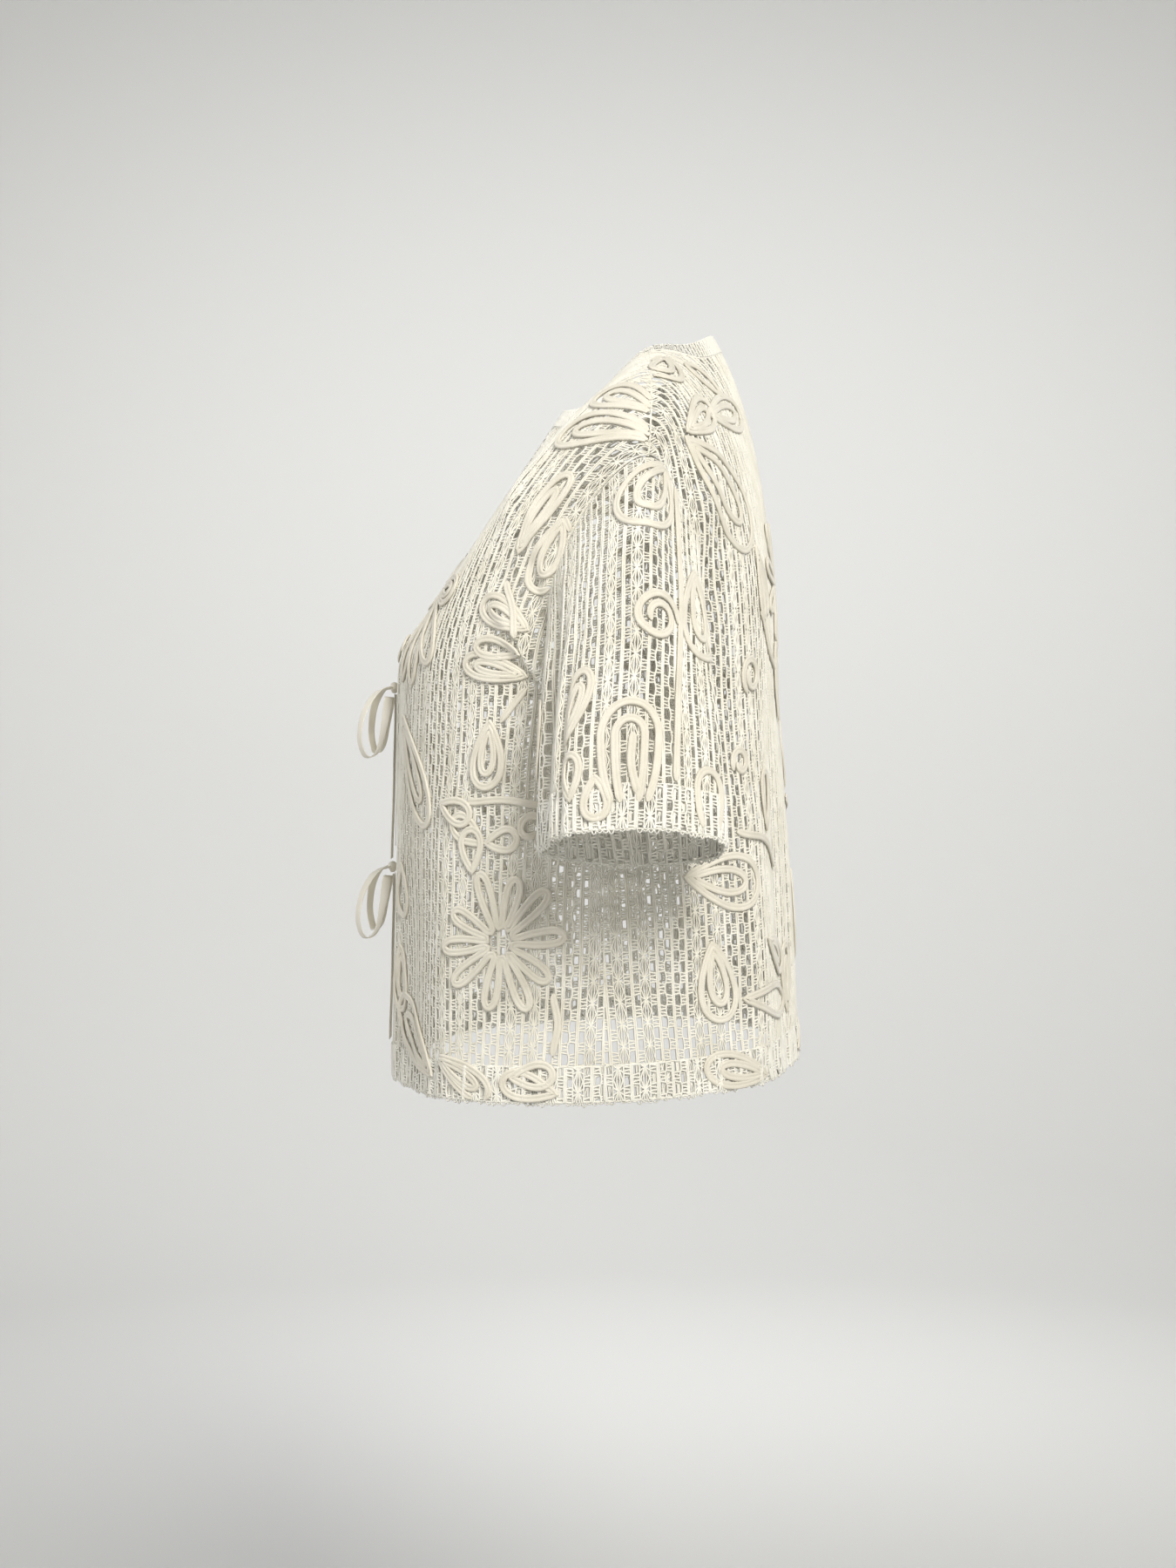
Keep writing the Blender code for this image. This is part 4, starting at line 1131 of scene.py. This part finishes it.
def braidPiece(name, cloth, layout, shape, mirrored=False):
    heap = Heap()
    for number, (form, s, t, heading, size, bend) in enumerate(layout):
        for line in braidForms[form](size, bend):
            placed = (spun(line, heading) + [s, t]) / 1000
            for run in cutTo(placed, shape):
                layBraid(heap, cloth, run, braidCut["layer"] * (number % 3))
    return enrol(heap.piece(name, mirrored))


def withBand(shape, foot):
    # the panel's outline carried down over its band
    low = shape[:, 1].min() + 0.0001
    return np.array([(s, foot if t < low else t) for s, t in shape])


braids = []
for side, mirrored in bothSides:
    for panel, cloth, layout, outline in (
        ("front", frontCloth, frontBraid, frontShape),
        ("back", backCloth, backBraid, backShape),
        ("sleeve", sleeveClothLeft, sleeveBraid, sleeveShape),
    ):
        name = "braid_" + panel + "_" + side
        braids.append(braidPiece(name, cloth, layout, withBand(outline, 0.001), mirrored))
print("braid:", sum(len(piece.data.polygons) for piece in braids) * 2, "triangles")


# Ribbon ties

ribbonCut = {
    "width": 0.007,
    "thickness": 0.0006,
    "gather": 0.45,  # how much narrower it is in the knot
    "gatherReach": 0.008,
    "rootLength": 0.014,
    "knotAhead": 0.0048,
    "knotSize": (0.0058, 0.0060, 0.0074),
    "edgeFace": 0.0011,  # the front edge's outer face above its middle
    "knots": (("upper", -0.210), ("lower", -0.327)),
}
ribbonRuns = (
    # piece, points in metres from the knot, the width's direction at the knot and half way, its far end
    ("loop_left", ((0.0040, -0.0012, 0), (0.011, -0.010, -0.003), (0.016, -0.018, -0.016),
                   (0.018, -0.021, -0.033), (0.016, -0.017, -0.045), (0.011, -0.010, -0.042),
                   (0.007, -0.006, -0.026), (0.0046, -0.003, -0.006)),
     (0.25, 0.90, 0.35), (0.88, 0.46, 0.10), "object"),
    ("loop_right", ((-0.0033, -0.001, 0), (-0.010, -0.009, -0.002), (-0.017, -0.015, -0.013),
                    (-0.021, -0.017, -0.030), (-0.019, -0.014, -0.042), (-0.013, -0.009, -0.038),
                    (-0.008, -0.006, -0.023), (-0.0046, -0.003, -0.006)),
     (0.25, -0.90, -0.35), (0.88, -0.46, -0.10), "object"),
    ("tail_left", ((0.0042, 0.0012, -0.0046), (0.007, 0.0014, -0.022), (0.010, 0.0010, -0.046),
                   (0.009, 0.0004, -0.072), (0.011, -0.0004, -0.098), (0.010, -0.0008, -0.111)),
     (1.00, -0.10, 0.05), (1.00, -0.10, 0.05), "bare"),
    ("tail_right", ((-0.0042, 0.0012, -0.0046), (-0.008, 0.0014, -0.020), (-0.012, 0.0010, -0.042),
                    (-0.012, 0.0004, -0.066), (-0.015, -0.0004, -0.088), (-0.015, -0.0006, -0.104)),
     (1.00, 0.10, 0.05), (1.00, 0.10, 0.05), "bare"),
)


def smoothRun(points, step):
    points = np.array(points, float)
    line = np.concatenate([[2 * points[0] - points[1]], points, [2 * points[-1] - points[-2]]])
    dense = []
    for k in range(1, len(line) - 2):
        a, b, c, d = line[k - 1:k + 3]
        for part in np.linspace(0, 1, 12, endpoint=False):
            dense.append(
                0.5 * (2 * b + (c - a) * part + (2 * a - 5 * b + 4 * c - d) * part ** 2
                       + (3 * b - a - 3 * c + d) * part ** 3)
            )
    dense.append(points[-1])
    return resampled(np.array(dense), step)


def layRibbon(heap, line, way, widths, thickness):
    # a soft flat ribbon, thicker at its woven edges
    ahead = unit(np.gradient(line, axis=0))
    way = np.broadcast_to(np.array(way, float), line.shape)
    across = unit(way - ahead * (ahead * way).sum(axis=1)[:, None])
    normals = np.cross(across, ahead)
    across = across * np.broadcast_to(widths, len(line))[:, None]
    profile = np.array([
        (-1.0, 0.6), (-0.9, 1.0), (-0.45, 0.75), (0.0, 0.9), (0.45, 0.75), (0.9, 1.0), (1.0, 0.6),
        (1.0, -0.6), (0.9, -1.0), (0.45, -0.75), (0.0, -0.9), (-0.45, -0.75), (-0.9, -1.0), (-1.0, -0.6),
    ]) * [0.5, thickness / 2]
    rings = line[:, None] + across[:, None] * profile[None, :, :1] + normals[:, None] * profile[None, :, 1:]
    count, sides = rings.shape[:2]
    index = np.arange(count * sides).reshape(count, sides)
    quads, uvs = ringQuads(count, sides, lengthsAlong(line), True)
    ends = []
    for ring, turned in ((index[0], False), (index[-1], True)):
        for k in range(sides // 2 - 1):
            quad = [ring[k], ring[k + 1], ring[sides - 2 - k], ring[sides - 1 - k]]
            ends.append(quad[::-1] if turned else quad)
    uvs = np.concatenate([uvs, np.zeros((len(ends), 4, 2))])
    heap.add(rings.reshape(-1, 3), np.concatenate([quads, np.array(ends)]), uvs)


def knotPlace(height):
    t = heightToT(frontCloth, 0.0, height)
    face = frontCloth.points(np.array([(gap, t)]), ribbonCut["edgeFace"])[0]
    return t, np.array([0.0, face[1] - ribbonCut["knotAhead"], height])


def addRibbon(name, level, knot, points, knotWay, middleWay):
    line = smoothRun(points, 0.0022) + knot
    turn = np.sin(np.linspace(0, math.pi, len(line)))[:, None]
    way = np.array(knotWay) * (1 - turn) + np.array(middleWay) * turn
    fromKnot = np.linalg.norm(line - knot, axis=1)
    gathered = ribbonCut["gather"] * np.exp(-(fromKnot / ribbonCut["gatherReach"]) ** 2)
    heap = Heap()
    layRibbon(heap, line, way, ribbonCut["width"] * (1 - gathered), ribbonCut["thickness"])
    piece = enrol(heap.piece("ribbon_" + name + "_" + level), name + "_" + level)
    return piece


def addRoot(side, level, t, mirrored):
    # the flat end, sewn to the front edge beside the knot
    s = np.linspace(ribbonCut["rootLength"], seamGap, 8)
    out = ribbonCut["edgeFace"] + seamGap + ribbonCut["thickness"] / 2
    line = frontCloth.points(np.stack([s, np.full(8, t)], 1), out)
    heap = Heap()
    layRibbon(heap, line, (0, 0, 1), ribbonCut["width"], ribbonCut["thickness"])
    name = "root_" + side + "_" + level
    return enrol(heap.piece("ribbon_" + name, mirrored), name)


def addKnot(level, place):
    # a small tied knot: a wrapped lump with a fold over its middle
    bpy.ops.object.select_all(action="DESELECT")
    bpy.ops.mesh.primitive_uv_sphere_add(segments=32, ring_count=20, radius=0.5, location=(0, 0, 0))
    piece = bpy.context.object
    piece.name = "ribbon_knot_" + level
    for vertex in piece.data.vertices:
        x, y, z = vertex.co
        swell = 1 + 0.10 * math.sin(7 * z + 2 * x) - 0.12 * math.exp(-(x / 0.10) ** 2) * (1 if y < 0 else 0)
        vertex.co = place + np.array((x * swell, y * swell, z)) * ribbonCut["knotSize"]
    piece.data.shade_smooth()
    return enrol(piece, "knot_" + level)


ribbons = []
for level, height in ribbonCut["knots"]:
    t, place = knotPlace(height)
    ribbons.append(addKnot(level, place))
    ribbons.append(addRoot("left", level, t, False))
    ribbons.append(addRoot("right", level, t, True))
    for name, points, knotWay, middleWay, farEnd in ribbonRuns:
        ribbons.append(addRibbon(name, level, place, points, knotWay, middleWay))
print("ribbons:", len(ribbons), "pieces")


# Materials

def linear(colour):
    # sRGB hex to linear
    channels = [int(colour[k:k + 2], 16) / 255 for k in (1, 3, 5)]
    return (*[c / 12.92 if c <= 0.04045 else ((c + 0.055) / 1.055) ** 2.4 for c in channels], 1.0)


def addNode(tree, kind, settings=None, links=None):
    # one node with its settings; links are input: (node, output)
    node = tree.nodes.new(kind)
    for name, value in (settings or {}).items():
        if name in node.inputs:
            node.inputs[name].default_value = value
        else:
            setattr(node, name, value)
    for name, (source, output) in (links or {}).items():
        tree.links.new(source.outputs[output], node.inputs[name])
    return node


def newMaterial(name, roughness, sheen, specular=0.35):
    material = bpy.data.materials.new(name)
    material.use_nodes = True
    tree = material.node_tree
    shader = tree.nodes["Principled BSDF"]
    shader.inputs["Roughness"].default_value = roughness
    shader.inputs["Sheen Weight"].default_value = sheen
    shader.inputs["Sheen Roughness"].default_value = 0.5
    shader.inputs["Specular IOR Level"].default_value = specular
    return material, tree, shader


finish = {
    # cells of each pattern over a real length in metres
    "yarnPatches": 9 / 0.200,
    "yarnFibres": 7 / 0.005,  # 0.7 mm each, coarser than real fibres so that they show
    "braidPatches": 3 / 0.050,
    # metres from rib to rib
    "braidRib": 0.0014,
    "ribbonRib": 0.0008,
    "braidSlant": 2.5,  # ribs that one turn round the braid crosses
    "ribWave": 0.32,  # a wave texture repeats about three times a unit, so this makes it once
    # light and shade
    "laceTones": ("#F0EDE2", "#E4E0D2"),
    "bandTones": ("#F3F1E8", "#E9E6DB"),
    "braidTones": ("#E3DED0", "#D8D2C2"),
    "ribbonTone": "#E9E4D6",
}


def setTones(tone, spread, tones):
    # two close colours, blended over the middle of the pattern
    for stop, side, colour in zip(tone.color_ramp.elements, (1, -1), tones[::-1]):
        stop.position = 0.5 - side * spread
        stop.color = linear(colour)


def cottonYarn(name, tones):
    # matt mercerised cotton yarn: soft, nearly white, a little warmer where it is thick
    material, tree, shader = newMaterial(name, 0.86, 0.25)
    place = addNode(tree, "ShaderNodeTexCoord")
    settings = {"Scale": finish["yarnPatches"], "Detail": 3.0}
    patches = addNode(tree, "ShaderNodeTexNoise", settings, {"Vector": (place, "Object")})
    tone = addNode(tree, "ShaderNodeValToRGB", links={"Fac": (patches, "Fac")})
    setTones(tone, 0.15, tones)
    tree.links.new(tone.outputs["Color"], shader.inputs["Base Color"])
    settings = {"Scale": finish["yarnFibres"], "Detail": 2.0}
    fibres = addNode(tree, "ShaderNodeTexNoise", settings, {"Vector": (place, "Object")})
    settings = {"Strength": 0.35, "Distance": 0.0002}
    bump = addNode(tree, "ShaderNodeBump", settings, {"Height": (fibres, "Fac")})
    tree.links.new(bump.outputs["Normal"], shader.inputs["Normal"])
    return material


def soutacheBraid():
    # plaited cotton over two cords: fine slanting ribs along each cord, warmer and closer than the lace
    material, tree, shader = newMaterial("cotton_soutache_braid", 0.74, 0.30)
    place = addNode(tree, "ShaderNodeTexCoord")
    settings = {"Scale": finish["braidPatches"], "Detail": 2.0}
    patches = addNode(tree, "ShaderNodeTexNoise", settings, {"Vector": (place, "Object")})
    tone = addNode(tree, "ShaderNodeValToRGB", links={"Fac": (patches, "Fac")})
    setTones(tone, 0.2, finish["braidTones"])
    tree.links.new(tone.outputs["Color"], shader.inputs["Base Color"])
    # a diagonal wave is twice as long
    settings = {"Scale": (2 / finish["braidRib"], 2 * finish["braidSlant"], 1.0)}
    stretch = addNode(tree, "ShaderNodeMapping", settings, {"Vector": (place, "UV")})
    settings = {"bands_direction": "DIAGONAL", "Scale": finish["ribWave"], "Distortion": 0.6}
    ribs = addNode(tree, "ShaderNodeTexWave", settings, {"Vector": (stretch, "Vector")})
    settings = {"Strength": 0.28, "Distance": 0.0002}
    bump = addNode(tree, "ShaderNodeBump", settings, {"Height": (ribs, "Fac")})
    tree.links.new(bump.outputs["Normal"], shader.inputs["Normal"])
    return material


def satinRibbon():
    # narrow polyester satin: smooth, softly shining, with a fine cross rib
    material, tree, shader = newMaterial("satin_ribbon", 0.42, 0.15, 0.5)
    shader.inputs["Base Color"].default_value = linear(finish["ribbonTone"])
    place = addNode(tree, "ShaderNodeTexCoord")
    settings = {"Scale": (1 / finish["ribbonRib"], 1.0, 1.0)}
    stretch = addNode(tree, "ShaderNodeMapping", settings, {"Vector": (place, "UV")})
    settings = {"Scale": finish["ribWave"], "Distortion": 0.3}
    ribs = addNode(tree, "ShaderNodeTexWave", settings, {"Vector": (stretch, "Vector")})
    settings = {"Strength": 0.25, "Distance": 0.0001}
    bump = addNode(tree, "ShaderNodeBump", settings, {"Height": (ribs, "Fac")})
    tree.links.new(bump.outputs["Normal"], shader.inputs["Normal"])
    return material


laceYarn = cottonYarn("cotton_lace_yarn", finish["laceTones"])
bandYarn = cottonYarn("cotton_doubled_yarn", finish["bandTones"])
for pieces, material in (
    (lace, laceYarn), (bands, bandYarn), (braids, soutacheBraid()), (ribbons, satinRibbon()),
):
    for piece in pieces:
        piece.data.materials.clear()
        piece.data.materials.append(material)
print("materials set")


# Studio: a pale floor that curves up all round, and soft light from the camera's side

studio = {
    "floorZ": -1.15,
    "floorRadius": 2.3,
    "bend": 0.9,
    "wallTop": 2.6,
    "tone": "#D3D3D2",
    "lights": (
        # name, place, aim, size in metres, watts, colour
        ("key", (1.9, 0.6, 1.0), (0, 0, -0.22), 0.9, 53, "#FFFDF8"),
        ("front", (0.4, -1.8, 0.6), (0, 0, -0.22), 1.2, 17, "#FFFFFF"),
        ("far_side", (-1.5, 0.9, 0.7), (0, 0, -0.22), 1.4, 13, "#FFFFFF"),
        ("wall", (-1.5, 0.0, 0.5), (-3.2, 0.0, -0.3), 1.8, 25, "#FFFFFF"),
        ("wall_behind", (0.0, 1.5, 0.5), (0.0, 3.2, -0.3), 1.8, 10, "#FFFFFF"),
    ),
    "skyColour": "#F4F4F4",
    "skyStrength": 0.08,
}


def addFloor():
    bpy.ops.object.select_all(action="DESELECT")
    bpy.ops.mesh.primitive_circle_add(
        vertices=96, radius=studio["floorRadius"], fill_type="NGON", location=(0, 0, studio["floorZ"])
    )
    floor = bpy.context.object
    floor.name = "studio_floor"
    shape = bmesh.new()
    shape.from_mesh(floor.data)
    rim = [edge for edge in shape.edges if edge.is_boundary]
    radius, bend = studio["floorRadius"], studio["bend"]
    turns = np.linspace(0, math.pi / 2, 13)[1:]
    steps = [(radius + bend * math.sin(turn), bend * (1 - math.cos(turn))) for turn in turns]
    steps.append((radius + bend, studio["wallTop"] - studio["floorZ"]))
    for reach, rise in steps:
        made = bmesh.ops.extrude_edge_only(shape, edges=rim)["geom"]
        for vertex in (item for item in made if isinstance(item, bmesh.types.BMVert)):
            flat = Vector((vertex.co.x, vertex.co.y)).normalized() * reach
            vertex.co = (flat.x, flat.y, rise)
        rim = [item for item in made if isinstance(item, bmesh.types.BMEdge)]
    shape.to_mesh(floor.data)
    shape.free()
    floor.data.shade_smooth()
    material, _, shader = newMaterial("pale_paint", 0.9, 0.0, 0.1)
    shader.inputs["Base Color"].default_value = linear(studio["tone"])
    floor.data.materials.append(material)


def addLight(name, place, aim, size, power, colour):
    data = bpy.data.lights.new(name, "AREA")
    data.shape = "DISK"
    data.size = size
    data.energy = power
    data.color = linear(colour)[:3]
    light = bpy.data.objects.new(name, data)
    bpy.context.scene.collection.objects.link(light)
    light.location = place
    light.rotation_euler = (Vector(aim) - Vector(place)).to_track_quat("-Z", "Y").to_euler()
    light.visible_camera = False


def lightStudio():
    for row in studio["lights"]:
        addLight(*row)
    world = bpy.data.worlds.new("studio")
    world.use_nodes = True
    background = world.node_tree.nodes["Background"]
    background.inputs["Color"].default_value = linear(studio["skyColour"])
    background.inputs["Strength"].default_value = studio["skyStrength"]
    bpy.context.scene.world = world
    bpy.context.scene.view_settings.view_transform = "Standard"  # keeps the cotton's whites white


addFloor()
lightStudio()
print("studio set")
